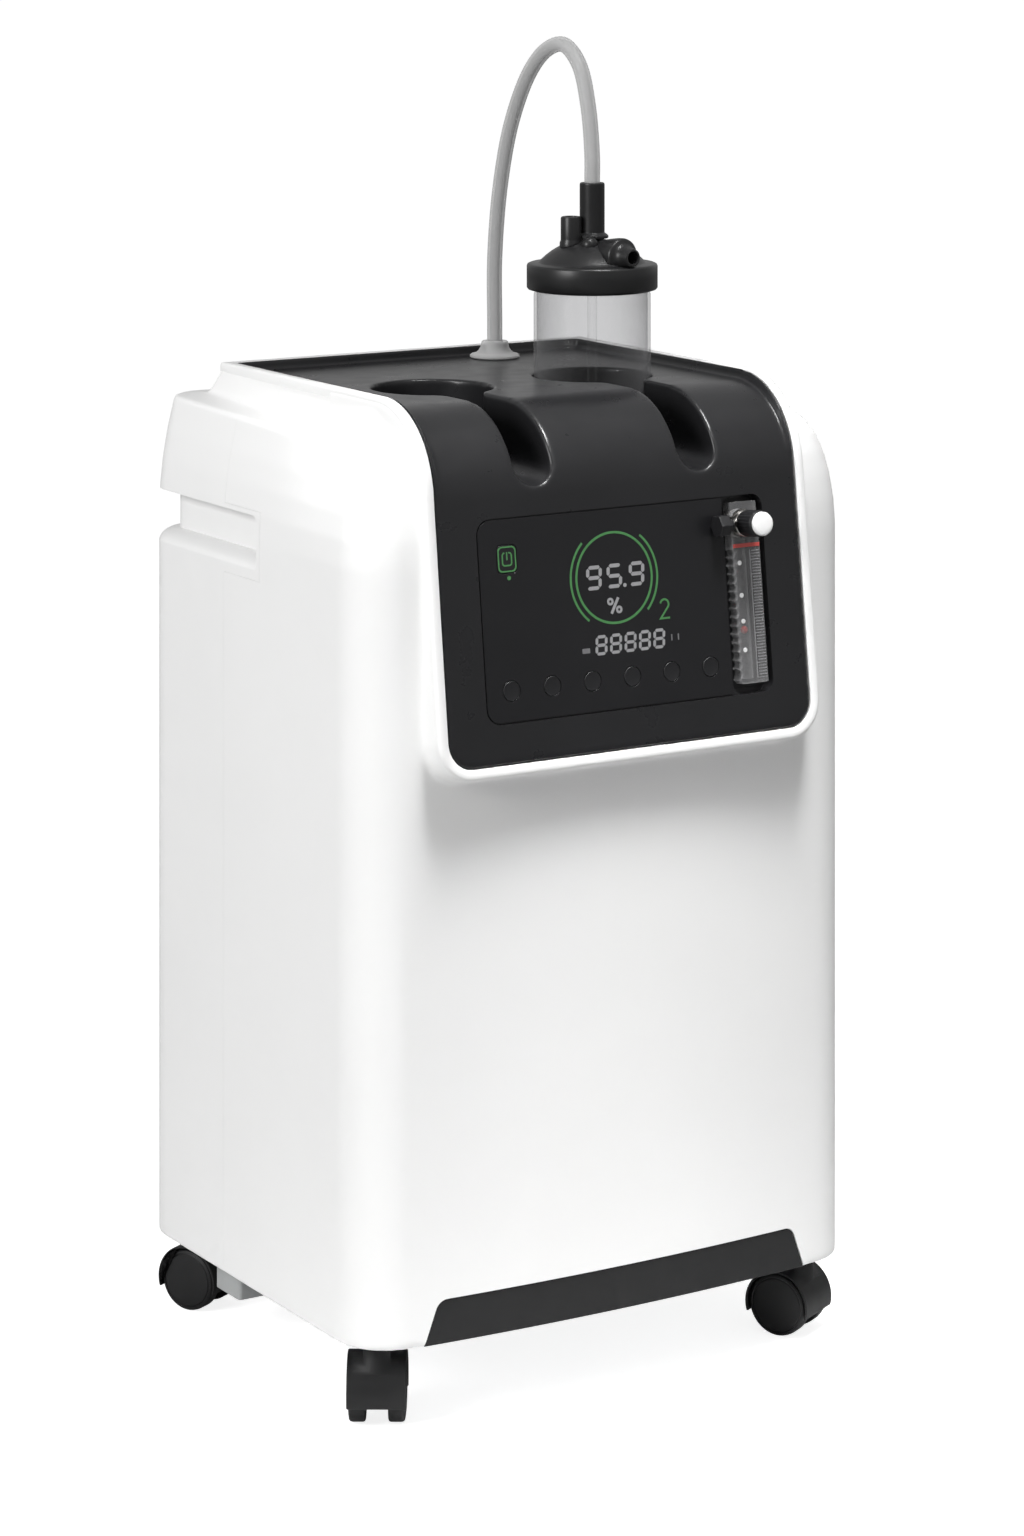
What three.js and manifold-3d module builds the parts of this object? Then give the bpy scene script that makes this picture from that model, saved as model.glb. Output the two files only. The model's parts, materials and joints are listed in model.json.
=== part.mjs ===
// Oxygen concentrator on four casters, with a humidifier bottle standing in its top tray.
// Units are millimetres. The origin is on the floor under the middle of the footprint,
// +Z is up, the front faces -Y and +X is on the right of someone facing the front.
import * as THREE from "three";
import { mergeVertices } from "three/addons/utils/BufferGeometryUtils.js";
import Module from "manifold-3d";

const wasm = await Module();
wasm.setup();

// ---------------------------------------------------------------- driving dimensions

const toRadians = (degrees) => (degrees * Math.PI) / 180;

const GAP = 0.3; // clearance between neighbouring pieces
// The drawing is centred on the casing; this brings the middle of the whole footprint, knob
// and casters included, to the origin.
const FOOTPRINT_SHIFT = 8.58;
const WALL = 3; // thickness of the moulded shells
const LEAN_STEPS = 4; // how finely the lean of the upper walls is cut
const PLAN_STEPS = 5; // how finely the round corners of the casing are cut

const BODY = {
  halfWidth: 184,
  front: -154, // the middle of the crowned front face
  rear: 154,
  floor: 53, // lower edge of the casing
  corner: 34, // radius of the vertical corners
  frontSweep: toRadians(5), // how far the crowned front turns before each corner
};

const HEAD = {
  rimBack: 628, // height of the tray rim at its back edge
  ledgeBack: 607, // height of the ledge beside the tray, at the back
  fall: 0.028, // the rim and the ledge fall this much per mm towards the front
  back: 114, // back edge of the black fascia
  crease: 149, // half-width where the plateau wall meets the ledge
  plateau: 139, // half-width of the plateau's top edge
  ledgeEnd: -72, // the ledge fades out here, towards the front
  leanFrom: 530, // the upright walls start to lean inwards here
  lean: 9.5, // how far they lean in by the ledge
  ledgeRound: 6,
};

const FASCIA = {
  halfWidth: 135,
  floor: 621.5, // level floor of the tray
  bottom: 407.5, // lower edge of the slanted panel
  bottomFront: -167.7, // how far forward that lower edge stands
  tilt: Math.atan(0.119), // lean of the slanted panel
  bend: 60, // radius between tray and panel
  corner: 17,
  bezel: 5, // width of the white frame round it
};

const WELL = { x: 61.5, y: -20, radius: 39.6, floor: 541, slotHalf: 13.8, slotEnd: 574 };
const SCREEN = { halfWidth: 107, low: 24.5, high: 150, corner: 10, sunk: 2, flowLeft: 77 };
const GRIP = { low: 511, high: 546, front: -8, rearEnd: 118, depth: 14, lip: 8 };
const SEAM = { y: 36, detourFront: -12.5, detourLow: 505, detourHigh: 549 };
const KICK = { top: 80, topHalf: 126, bottomHalf: 143, corner: 8 };
const BOTTLE = { radius: 38.8, floor: 543, top: 684, lidRadius: 43.4, lidLow: 677.5 };
const CASTER = {
  frontX: 159.5,
  frontY: -120,
  rearX: 146,
  rearY: 124,
  wheel: 20, // radius
  trail: 9, // how far the axle stands behind the swivel
  halfWidth: 19,
  top: 51,
  stem: 4.5, // radius
};
const HOSE = { radius: 5, bore: 3.2 };

// ---------------------------------------------------------------- solid tools

// A closed three.js geometry as a solid that can be joined and cut.
function solid(geometry) {
  const bare = geometry.index ? geometry.toNonIndexed() : geometry.clone();
  bare.deleteAttribute("normal");
  bare.deleteAttribute("uv");
  const merged = mergeVertices(bare, 1e-4);
  return new wasm.Manifold(
    new wasm.Mesh({
      numProp: 3,
      vertProperties: merged.attributes.position.array,
      triVerts: new Uint32Array(merged.index.array),
    }),
  );
}

// The geometry of a solid, for a mesh.
function geometryOf(body) {
  const data = body.getMesh();
  const geometry = new THREE.BufferGeometry();
  geometry.setAttribute("position", new THREE.BufferAttribute(data.vertProperties, 3));
  geometry.setIndex(new THREE.BufferAttribute(data.triVerts, 1));
  return geometry;
}

const join = (...bodies) => bodies.reduce((whole, body) => whole.add(body));
const cut = (body, ...tools) => tools.reduce((rest, tool) => rest.subtract(tool), body);

// A closed outline through corners [x, y, radius], each rounded by an arc.
function outline(corners, ShapeClass = THREE.Shape) {
  const path = new ShapeClass();
  corners.forEach(([x, y, radius = 0], i) => {
    const here = new THREE.Vector2(x, y);
    const before = new THREE.Vector2(...corners.at(i - 1).slice(0, 2));
    const after = new THREE.Vector2(...corners[(i + 1) % corners.length].slice(0, 2));
    const arriving = here.clone().sub(before).normalize();
    const leaving = after.clone().sub(here).normalize();
    const turn = Math.atan2(arriving.cross(leaving), arriving.dot(leaving));
    const reach = radius * Math.tan(Math.abs(turn) / 2);
    const start = here.clone().addScaledVector(arriving, -reach);
    if (i === 0) path.moveTo(start.x, start.y);
    else path.lineTo(start.x, start.y);
    if (!radius) return;
    const side = Math.sign(turn);
    const inwards = new THREE.Vector2(-arriving.y, arriving.x).multiplyScalar(side * radius);
    const centre = start.clone().add(inwards);
    const from = Math.atan2(start.y - centre.y, start.x - centre.x);
    path.absarc(centre.x, centre.y, radius, from, from + turn, turn < 0);
  });
  path.closePath();
  return path;
}

const rectangle = (x0, y0, x1, y1, r = 0) =>
  outline([
    [x0, y0, r],
    [x1, y0, r],
    [x1, y1, r],
    [x0, y1, r],
  ]);

function extrude(shape, depth, segments = 4) {
  return new THREE.ExtrudeGeometry(shape, { depth, bevelEnabled: false, curveSegments: segments });
}

// An outline drawn in X and Y, pulled up from z0 to z1.
function upward(shape, z0, z1, segments) {
  return extrude(shape, z1 - z0, segments).translate(0, 0, z0);
}

// An outline drawn in Y and Z, pulled along X from x0 to x1.
function sideways(shape, x0, x1, segments) {
  const turn = new THREE.Matrix4().makeBasis(
    new THREE.Vector3(0, 1, 0),
    new THREE.Vector3(0, 0, 1),
    new THREE.Vector3(1, 0, 0),
  );
  return extrude(shape, x1 - x0, segments).applyMatrix4(turn).translate(x0, 0, 0);
}

// An outline drawn in X and Z, pulled along Y from y0 to y1.
function backward(shape, y0, y1, segments) {
  return extrude(shape, y1 - y0, segments).rotateX(Math.PI / 2).translate(0, y1, 0);
}

function block(x0, x1, y0, y1, z0, z1) {
  return new THREE.BoxGeometry(x1 - x0, y1 - y0, z1 - z0).translate(
    (x0 + x1) / 2,
    (y0 + y1) / 2,
    (z0 + z1) / 2,
  );
}

// A solid whose walls pass through a stack of outlines, lowest first. Every outline is a
// list of points, and all have the same count.
function loft(rings) {
  const count = rings[0].length;
  const positions = rings.flat().flatMap((point) => [point.x, point.y, point.z]);
  const faces = [];
  for (let level = 0; level + 1 < rings.length; level += 1) {
    for (let i = 0; i < count; i += 1) {
      const low = level * count + i;
      const lowNext = level * count + ((i + 1) % count);
      faces.push(low, lowNext, lowNext + count, low, lowNext + count, low + count);
    }
  }
  const cap = THREE.ShapeUtils.triangulateShape(rings[0], []);
  const top = (rings.length - 1) * count;
  cap.forEach(([a, b, c]) => faces.push(a, c, b, top + a, top + b, top + c));
  const geometry = new THREE.BufferGeometry();
  geometry.setAttribute("position", new THREE.Float32BufferAttribute(positions, 3));
  geometry.setIndex(faces);
  return geometry;
}

// A turned piece about +Z: its profile is a list of [radius, height] that starts and
// ends on the axis, or closes on itself.
function turned(profile, segments = 24) {
  const points = profile.map(([radius, height]) => new THREE.Vector2(radius, height));
  return new THREE.LatheGeometry(points, segments).rotateX(Math.PI / 2);
}

const rod = (radius, z0, z1, segments) =>
  turned([[0, z0], [radius, z0], [radius, z1], [0, z1]], segments);

function paint(color, roughness, metalness = 0) {
  return new THREE.MeshStandardMaterial({ color, roughness, metalness });
}

const WHITE = paint(0xf2f2f0, 0.35);
const GREY = paint(0xb9b9b6, 0.5);
const BLACK = paint(0x17171a, 0.4);
const SATIN = paint(0x232327, 0.5);
const RUBBER = paint(0x303033, 0.8);
const CLEAR = paint(0xdfe6e8, 0.08);
const SILICONE = paint(0xd5d6d4, 0.4);
const STEEL = paint(0xb4b6b8, 0.35, 0.9);
const ALUMINIUM = paint(0xc4c7ca, 0.4, 0.85);
const CIRCUIT = paint(0x1d5c38, 0.5);
const FOAM = paint(0x3a3d40, 0.95);
const RED = paint(0xc4322d, 0.4);

// One named sub-part, from a solid or from a geometry.
function piece(name, body, material) {
  const geometry = body.isBufferGeometry ? body : geometryOf(body);
  const mesh = new THREE.Mesh(geometry, material);
  mesh.name = name;
  return mesh;
}

// ---------------------------------------------------------------- the slanted panel's frame

// Its x runs with +X, its y runs up the panel from the lower edge, and its z stands out of it.
function panelGroup() {
  const group = new THREE.Group();
  group.position.set(0, FASCIA.bottomFront, FASCIA.bottom);
  group.rotation.x = Math.PI / 2 - FASCIA.tilt;
  group.updateMatrixWorld(true);
  return group;
}

const panel = panelGroup();
const onPanel = (geometry) => solid(geometry.applyMatrix4(panel.matrixWorld));

// Where the slanted panel's plane crosses a height.
const panelFront = (z) => FASCIA.bottomFront + (z - FASCIA.bottom) * Math.tan(FASCIA.tilt);

// ---------------------------------------------------------------- casing

// The plan of the casing, drawn inset by some distance. The front face is crowned and runs
// smoothly into its corners.
function plan(inset) {
  const radius = BODY.corner - inset;
  const half = BODY.halfWidth - inset;
  const sweep = BODY.frontSweep;
  const end = half - radius * (1 - Math.sin(sweep));
  const crown = (end * Math.tan(sweep)) / 2;
  const endY = BODY.front + inset + crown;
  const cornerY = endY + radius * Math.cos(sweep);
  const rear = BODY.rear - inset;
  const shape = new THREE.Shape();
  shape.moveTo(-end, endY);
  shape.quadraticCurveTo(0, endY - 2 * crown, end, endY);
  shape.absarc(half - radius, cornerY, radius, sweep - Math.PI / 2, 0, false);
  shape.absarc(half - radius, rear - radius, radius, 0, Math.PI / 2, false);
  shape.absarc(radius - half, rear - radius, radius, Math.PI / 2, Math.PI, false);
  shape.absarc(radius - half, cornerY, radius, Math.PI, 1.5 * Math.PI - sweep, false);
  return shape;
}

// One closed ring of points round the casing, at some inset and height. `follow` says how
// much the ring falls towards the front with the tray rim: 0 is level, 1 is the full fall.
function planRing(inset, z, follow = 0) {
  const points = plan(inset).getPoints(PLAN_STEPS);
  const distinct = points.filter((point, i) => point.distanceTo(points.at(i - 1)) > 1e-3);
  return distinct.map(
    ({ x, y }) => new THREE.Vector3(x, y, z + follow * HEAD.fall * (y - HEAD.back)),
  );
}

// Tilts a geometry so that its height follows the fall of the tray rim.
function fallForward(geometry) {
  const shear = new THREE.Matrix4().set(
    1, 0, 0, 0,
    0, 1, 0, 0,
    0, HEAD.fall, 1, -HEAD.fall * HEAD.back,
    0, 0, 0, 1,
  );
  return geometry.applyMatrix4(shear);
}

const mirrored = (half) => [...half, ...half.map(([x, z, r]) => [-x, z, r]).reverse()];

// The top of the casing seen from the front, at the back: ledge and plateau.
function ledgeSection(inset) {
  return outline(
    mirrored([
      [BODY.halfWidth + 10, 0],
      [BODY.halfWidth + 10, HEAD.ledgeBack - inset],
      [HEAD.crease - inset, HEAD.ledgeBack - inset, 2],
      [HEAD.plateau - inset, HEAD.rimBack - inset, 2],
    ]),
  );
}

// The top of the casing seen from the front, near the front: one round shoulder, no ledge.
function shoulderSection(inset) {
  return outline(
    mirrored([
      [BODY.halfWidth + 10, 0],
      [BODY.halfWidth + 10, 560 - inset],
      [BODY.halfWidth - 13 - inset, 595 - inset, 20],
      [HEAD.crease - 2 - inset, 611 - inset, 20],
      [HEAD.plateau - inset, HEAD.rimBack - inset, 2],
    ]),
  );
}

// The casing seen from the side: the front top edge follows the fascia's bend, and the
// plateau ends in a ledge at the back.
function sideSection(inset) {
  const top = HEAD.rimBack + 2 - inset;
  return outline([
    [BODY.front - 10 + inset, 0],
    [BODY.rear + 10, 0],
    [BODY.rear + 10, HEAD.ledgeBack - 0.5 - inset],
    [HEAD.back + 14 - inset, HEAD.ledgeBack - 0.5 - inset],
    [HEAD.back + 5 - inset, top, 2],
    [panelFront(620) - 1 + inset, top - 9, FASCIA.bend],
    [BODY.front - 10 + inset, 560],
  ]);
}

// The hood that carries the fascia and overhangs the front face.
function hood(inset) {
  const low = FASCIA.bottom - FASCIA.bezel + inset;
  const half = FASCIA.halfWidth + FASCIA.bezel - inset;
  const seenFromSide = outline([
    [panelFront(low) + inset, low, 4],
    [-100, low - 6],
    [-60, HEAD.rimBack - 6 - inset],
    [panelFront(622) + inset, 622 - inset, FASCIA.bend],
  ]);
  const seenFromFront = rectangle(-half, low - 8, half, 700, FASCIA.corner + FASCIA.bezel - inset);
  return solid(sideways(seenFromSide, -half, half)).intersect(
    solid(backward(seenFromFront, -200, -20)),
  );
}

// The whole outer form of the casing, inset by some distance.
function casingForm(inset) {
  const { leanFrom, lean, ledgeRound } = HEAD;
  const rim = HEAD.ledgeBack - ledgeRound;
  const rings = [planRing(inset, BODY.floor - inset)];
  for (let i = 0; i <= LEAN_STEPS; i += 1) {
    const t = i / LEAN_STEPS;
    rings.push(planRing(inset + lean * t * t, THREE.MathUtils.lerp(leanFrom, rim, t) - inset, t));
  }
  rings.push(planRing(inset + lean + ledgeRound * 0.3, rim + ledgeRound * 0.7 - inset, 1));
  rings.push(planRing(inset + lean + ledgeRound, rim + ledgeRound + GAP - inset, 1));
  rings.push(planRing(inset + lean + ledgeRound + 1, 660, 1));
  const walls = solid(loft(rings));
  const atBack = solid(fallForward(backward(ledgeSection(inset), HEAD.ledgeEnd, 200)));
  const atFront = solid(fallForward(backward(shoulderSection(inset), -200, HEAD.ledgeEnd)));
  const fromSide = solid(sideways(sideSection(inset), -200, 200));
  return join(walls.intersect(join(atBack, atFront)).intersect(fromSide), hood(inset));
}

// The space that the fascia fills, from its face to `depth` below it.
function fasciaSpace(gap, depth, lift) {
  const half = FASCIA.halfWidth + gap;
  const low = FASCIA.bottom - gap;
  const back = HEAD.back + gap;
  const floor = FASCIA.floor - depth;
  const band = outline([
    [panelFront(low) - lift, low],
    [panelFront(low) + depth, low],
    [panelFront(floor) + depth, floor, FASCIA.bend - depth],
    [back, floor],
    [back, HEAD.rimBack + lift],
    [panelFront(621.8) - lift, 621.8 + lift, FASCIA.bend + lift],
  ]);
  const front = rectangle(-half, low, half, 700, FASCIA.corner + gap);
  return solid(sideways(band, -half, half, 8)).intersect(solid(backward(front, -220, 160)));
}

// The sunk hand grip that wraps round a rear corner, on both sides at once. Its upper edge
// is sharp and its lower lip is rolled over; `shrink` leaves room for the wall round it.
function gripSpace(shrink) {
  const { low, high, front, rearEnd, depth, lip } = GRIP;
  const core = [[-12, low - 12 - shrink], [0, low - shrink]];
  for (let i = 1; i <= 3; i += 1) {
    const angle = (i * Math.PI) / 6;
    core.push([depth * (1 - Math.cos(angle)), low - shrink + lip * Math.sin(angle)]);
  }
  core.push([depth, high + 20]);
  const grown = core.map(([inset, z]) => planRing(inset + shrink, z));
  const space = cut(
    solid(upward(plan(-10), low - 10, high + shrink, PLAN_STEPS)),
    solid(loft(grown)),
  );
  const left = solid(block(-260, -rearEnd + shrink, front - shrink, 200, low - 30, high + 9));
  const right = solid(block(rearEnd - shrink, 260, front - shrink, 200, low - 30, high + 9));
  return space.intersect(join(left, right));
}

// Everything that belongs to the rear shell: behind the seam, and round the grips.
function rearRegion(gap) {
  const behind = solid(block(-300, 300, SEAM.y + gap, 300, 0, 700));
  const detour = (side) =>
    solid(
      block(
        Math.min(side * 130, side * 300),
        Math.max(side * 130, side * 300),
        SEAM.detourFront + gap,
        SEAM.y + 5,
        SEAM.detourLow + gap,
        SEAM.detourHigh - gap,
      ),
    );
  return join(behind, detour(-1), detour(1));
}

// The outline of the kick plate on the front face.
function kickOutline(grow) {
  return outline([
    [-KICK.bottomHalf - grow, BODY.floor - grow],
    [KICK.bottomHalf + grow, BODY.floor - grow],
    [KICK.topHalf + grow, KICK.top + grow, KICK.corner],
    [-KICK.topHalf - grow, KICK.top + grow, KICK.corner],
  ]);
}

const FILTER = { halfWidth: 62, low: 372, high: 520 };
const EXHAUST = { left: -163, right: -98, front: 55, back: 88, low: 26, wall: 3 };
const INLET = { x: 96, z: 112, halfWidth: 26, halfHeight: 17 };
const BREAKER = { x: 40, z: 112, radius: 7 };

function casing() {
  const shell = cut(
    casingForm(0),
    casingForm(WALL),
    solid(block(-300, 300, -300, 300, 0, BODY.floor)),
    fasciaSpace(GAP, 11, 12),
  );
  const linings = gripSpace(WALL).intersect(casingForm(WALL / 2));
  return cut(join(shell, linings), gripSpace(0));
}

const whole = casing();

function frontShell() {
  const kickSpace = solid(backward(kickOutline(GAP), -200, -90));
  return cut(whole, rearRegion(-GAP / 2), kickSpace);
}

function rearShell() {
  const filterSpace = solid(
    backward(rectangle(-FILTER.halfWidth, FILTER.low, FILTER.halfWidth, FILTER.high, 8), 140, 200),
  );
  const inletSpace = solid(
    block(
      INLET.x - INLET.halfWidth,
      INLET.x + INLET.halfWidth,
      140,
      200,
      INLET.z - INLET.halfHeight,
      INLET.z + INLET.halfHeight,
    ),
  );
  const breakerSpace = solid(
    rod(BREAKER.radius + GAP, 0, 60).rotateX(-Math.PI / 2).translate(BREAKER.x, 130, BREAKER.z),
  );
  return cut(whole.intersect(rearRegion(GAP / 2)), filterSpace, inletSpace, breakerSpace);
}

// The black plate along the bottom of the front, following the crowned face.
function kickPlate() {
  const skin = cut(
    solid(upward(plan(0.8), BODY.floor, KICK.top + 5, 10)),
    solid(upward(plan(0.8 + WALL), BODY.floor - 1, KICK.top + 6, 10)),
  );
  return skin.intersect(solid(backward(kickOutline(0), -200, -90)));
}

// The bottom plate, with holes for the four caster stems and one for the exhaust air.
function basePan() {
  const plate = solid(upward(plan(WALL + 1), BODY.floor + GAP, BODY.floor + 4, 5));
  const holes = casterPlaces.map(({ x, y }) =>
    solid(rod(5 + GAP, 40, 80, 12).translate(x, y, 0)),
  );
  const { left, right, front, back } = EXHAUST;
  const exhaust = solid(block(left + 5, right - 5, front + 5, back - 5, 40, 80));
  return cut(plate, ...holes, exhaust);
}

// ---------------------------------------------------------------- fascia, screen and keys

const bothWells = (build) => [-1, 1].map((side) => build(side * WELL.x));

// A bottle well and the slot that runs forward from it, grown by some thickness.
function wellSpace(x, grow, top) {
  const round = solid(rod(WELL.radius + grow, WELL.floor - grow, top, 32).translate(x, WELL.y, 0));
  const seenFromFront = rectangle(
    x - WELL.slotHalf - grow,
    WELL.slotEnd - grow,
    x + WELL.slotHalf + grow,
    top + 60,
    WELL.slotHalf + grow - 0.01,
  );
  const slotFront = grow ? panelFront(WELL.slotEnd) + 4 : -200;
  const slot = solid(backward(seenFromFront, slotFront, WELL.y));
  return join(round, slot);
}

// A moulding whose skin covers the slanted panel and the top tray. The bottle wells hang
// from it, and the screen and flowmeter sit in recesses of the slanted panel.
function topFascia() {
  const skin = fasciaSpace(0, WALL, 0);
  const { halfWidth, low, high, corner, sunk, flowLeft } = SCREEN;
  const rim = 3;
  const backing = onPanel(
    upward(
      rectangle(-halfWidth - rim, low - rim, halfWidth + rim, high + rim, corner + rim),
      -4 * rim,
      -1,
    ),
  );
  const belowTray = solid(block(-200, 200, -160, 60, 500, FASCIA.floor));
  const underSkin = cut(
    join(fasciaSpace(-0.01, 60, 0), solid(block(-130, 130, -155, 100, 500, 600))),
    fasciaSpace(GAP, 0.5, 12),
  );
  const lined = join(underSkin, skin);
  const liners = bothWells((x) => wellSpace(x, 2.5, 640).intersect(belowTray).intersect(lined));
  const tray = solid(block(-132.5, 132.5, -95, HEAD.back - 2.5, FASCIA.floor, 660));
  const screenSpace = onPanel(
    upward(rectangle(-halfWidth, low, halfWidth, high, corner), -sunk, 20),
  );
  const behindScreen = onPanel(
    upward(rectangle(6 - halfWidth, low + 6, flowLeft - 6, high - 6, 5), -20, 5),
  );
  const flowSpace = onPanel(upward(rectangle(flowLeft, low, halfWidth, high, 8), -9.5, 20));
  const wells = bothWells((x) => wellSpace(x, 0, 700));
  const body = join(skin, backing, ...liners);
  return cut(body, tray, screenSpace, behindScreen, flowSpace, ...wells);
}

const KEY = { count: 6, first: -88, pitch: 29.6, y: 44.3, radius: 6 };
const POWER = { x: -85.8, y: 124.5, halfWidth: 7, halfHeight: 8.5, corner: 3 };

// The dark glass of the screen, with a hole for each key.
function displayPanel() {
  const { halfWidth, low, high, corner, sunk, flowLeft } = SCREEN;
  const right = flowLeft - GAP;
  const plate = outline([
    [-halfWidth + GAP, low + GAP, corner],
    [right, low + GAP],
    [right, high - GAP],
    [-halfWidth + GAP, high - GAP, corner],
  ]);
  for (let i = 0; i < KEY.count; i += 1) {
    const x = KEY.first + i * KEY.pitch;
    const hole = new THREE.Path().absarc(x, KEY.y, KEY.radius + GAP, 0, 2 * Math.PI, true);
    plate.holes.push(hole);
  }
  const { x, y, corner: r } = POWER;
  const w = POWER.halfWidth + GAP;
  const h = POWER.halfHeight + GAP;
  const clockwise = [
    [x - w, y - h, r],
    [x - w, y + h, r],
    [x + w, y + h, r],
    [x + w, y - h, r],
  ];
  plate.holes.push(outline(clockwise, THREE.Path));
  return upward(plate, GAP - sunk, -0.4, 5);
}

const keyCap = (i) =>
  rod(KEY.radius, -4.5, 0.1, 14).translate(KEY.first + i * KEY.pitch, KEY.y, 0);

function powerKey() {
  const { x, y, halfWidth: w, halfHeight: h, corner } = POWER;
  return upward(rectangle(x - w, y - h, x + w, y + h, corner), -4.5, 0.1);
}

function controlBoard() {
  const board = solid(block(-100, 66, 32, 143, -15.5, -13.9));
  const parts = [
    block(-40, -10, 95, 125, -22, -15.4),
    block(20, 55, 50, 62, -26, -15.4),
    block(-90, -70, 60, 90, -24, -15.4),
  ];
  return join(board, ...parts.map(solid));
}

// ---------------------------------------------------------------- flowmeter, in the panel's frame

const FLOW = { left: 81, right: 102, low: 31, high: 117, boreX: 89.5, boreZ: -3.6, bore: 3.2 };
const VALVE = { x: 90.8, y: 132, radius: 10.5 };

function flowmeterTube() {
  const bar = solid(block(FLOW.left, FLOW.right, FLOW.low, FLOW.high, -8.8, 0.6));
  const bore = solid(
    rod(FLOW.bore, FLOW.low + 4, FLOW.high + 5, 14)
      .rotateX(-Math.PI / 2)
      .translate(FLOW.boreX, 0, FLOW.boreZ),
  );
  return cut(bar, bore);
}

function flowFloat() {
  const profile = [[0, -2.6], [1.6, -2.2], [2.6, -0.6], [2.6, 1.2], [1.2, 2.6], [0, 2.6]];
  return turned(profile, 12)
    .rotateX(-Math.PI / 2)
    .translate(FLOW.boreX, (FLOW.low + FLOW.high) / 2 - 10, FLOW.boreZ);
}

function flowValveBody() {
  const barrel = rod(VALVE.radius, -9, 5, 20).translate(VALVE.x, VALVE.y, 0);
  const neck = block(VALVE.x - 6, VALVE.x + 6, FLOW.high + GAP, VALVE.y - 6, -8, 0);
  const spindleHole = rod(3.3, 0, 9, 12).translate(VALVE.x, VALVE.y, 0);
  return cut(join(solid(barrel), solid(neck)), solid(spindleHole));
}

function flowKnob() {
  const profile = [[0, 1.5], [3, 1.5], [3, 5.6], [8.5, 5.6], [8.5, 20], [7.9, 21.5], [0, 21.5]];
  return turned(profile, 16).translate(VALVE.x, VALVE.y, 0);
}

function flowKnobCap() {
  const profile = [[0, 21.8], [7.5, 21.8], [7.5, 24], [6.9, 24.8], [0, 24.8]];
  return turned(profile, 16).translate(VALVE.x, VALVE.y, 0);
}

// The black union nut on the left of the valve.
function flowUnion() {
  const profile = [[0, 0], [6.6, 0], [6.6, 6.5], [3.6, 11], [0, 11]];
  return turned(profile, 6)
    .rotateY(-Math.PI / 2)
    .translate(VALVE.x - VALVE.radius - GAP, VALVE.y, 6.8);
}

// ---------------------------------------------------------------- humidifier

const atWell = (geometry, side = 1) => geometry.translate(side * WELL.x, WELL.y, 0);

// The clear cup: a thin wall with a round heel and a thicker threaded rim.
function humidifierBottle() {
  const { radius: r, floor, top } = BOTTLE;
  return atWell(
    turned(
      [
        [0, floor], [r - 8, floor], [r - 2, floor + 2.5], [r, floor + 8],
        [r, top], [r - 2.4, top], [r - 2.4, floor + 9],
        [r - 4.2, floor + 4.8], [r - 9, floor + 2.6], [0, floor + 2.6],
      ],
      32,
    ),
  );
}

// The screw lid: a flat band, a dome, and a hole for the inlet stem.
const LID_DOME = [[35.3, 697], [31.3, 699.4], [23, 705.2], [14, 708.8], [4.6, 710]];

function humidifierLid() {
  const { lidRadius, lidLow, radius, top } = BOTTLE;
  const inside = LID_DOME.map(([r, z]) => [r - 1.5 * (r > 5), z - 4]).reverse();
  return atWell(
    turned(
      [
        [radius + GAP, lidLow], [lidRadius, lidLow], [lidRadius, 694.4], [lidRadius - 1.3, 695.8],
        ...LID_DOME, ...inside, [radius - 4, top + 6], [radius + GAP, top + 2], [radius + GAP, lidLow],
      ],
      32,
    ),
  );
}

// Everything under the dome's surface, to seat the fittings that stand on it.
function underDome() {
  const over = LID_DOME.map(([r, z]) => [r, z + GAP]);
  return atWell(turned([[0, 660], [50, 660], [50, 696.5], ...over, [0, 710.5]], 32));
}

function humidifierInlet() {
  const profile = [
    [0, 690], [4, 690], [4, 710.4], [9.6, 710.4], [9.6, 713], [8.3, 715], [8.3, 748.6],
    [HOSE.radius + 0.6, 748.6], [HOSE.radius + 0.6, 738], [0, 738],
  ];
  return atWell(turned(profile, 20));
}

// The dip tube, with the bubbling head at its lower end.
function humidifierDiffuser() {
  const profile = [
    [0, 551], [7.5, 551], [7.5, 563], [3.2, 566], [3.2, 689.6],
    [1.8, 689.6], [1.8, 570], [0, 570],
  ];
  return atWell(turned(profile, 14));
}

function reliefValve() {
  const profile = [
    [0, 700], [6.3, 700], [6.3, 725.7], [5.4, 726.7], [3.4, 726.7], [3.4, 722], [0, 722],
  ];
  const stub = turned(profile, 14).translate(WELL.x - 16, WELL.y + 4, 0);
  return cut(solid(stub), solid(underDome()));
}

// The outlet that the patient's tube pushes on to: a round housing lying on the dome, with a
// smaller nozzle at its front right end.
const OUTLET = { heading: toRadians(-50), z: 704.5, start: 9.5, shoulder: 22, tip: 31 };

function humidifierOutlet() {
  const { heading, z, start, shoulder, tip } = OUTLET;
  const body = turned(
    [
      [0, start], [7, start], [9, shoulder - 5], [8.4, shoulder], [5.2, shoulder + 0.6],
      [4.6, tip], [2.6, tip], [2.6, shoulder - 8], [0, shoulder - 8],
    ],
    16,
  );
  const placed = body
    .rotateY(toRadians(88))
    .rotateZ(heading)
    .translate(WELL.x, WELL.y, z);
  return cut(solid(placed), solid(underDome()), solid(atWell(rod(9.9, 690, 760, 20))));
}

// ---------------------------------------------------------------- hose

const BOOT = { x: 54, y: 92 };

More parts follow.
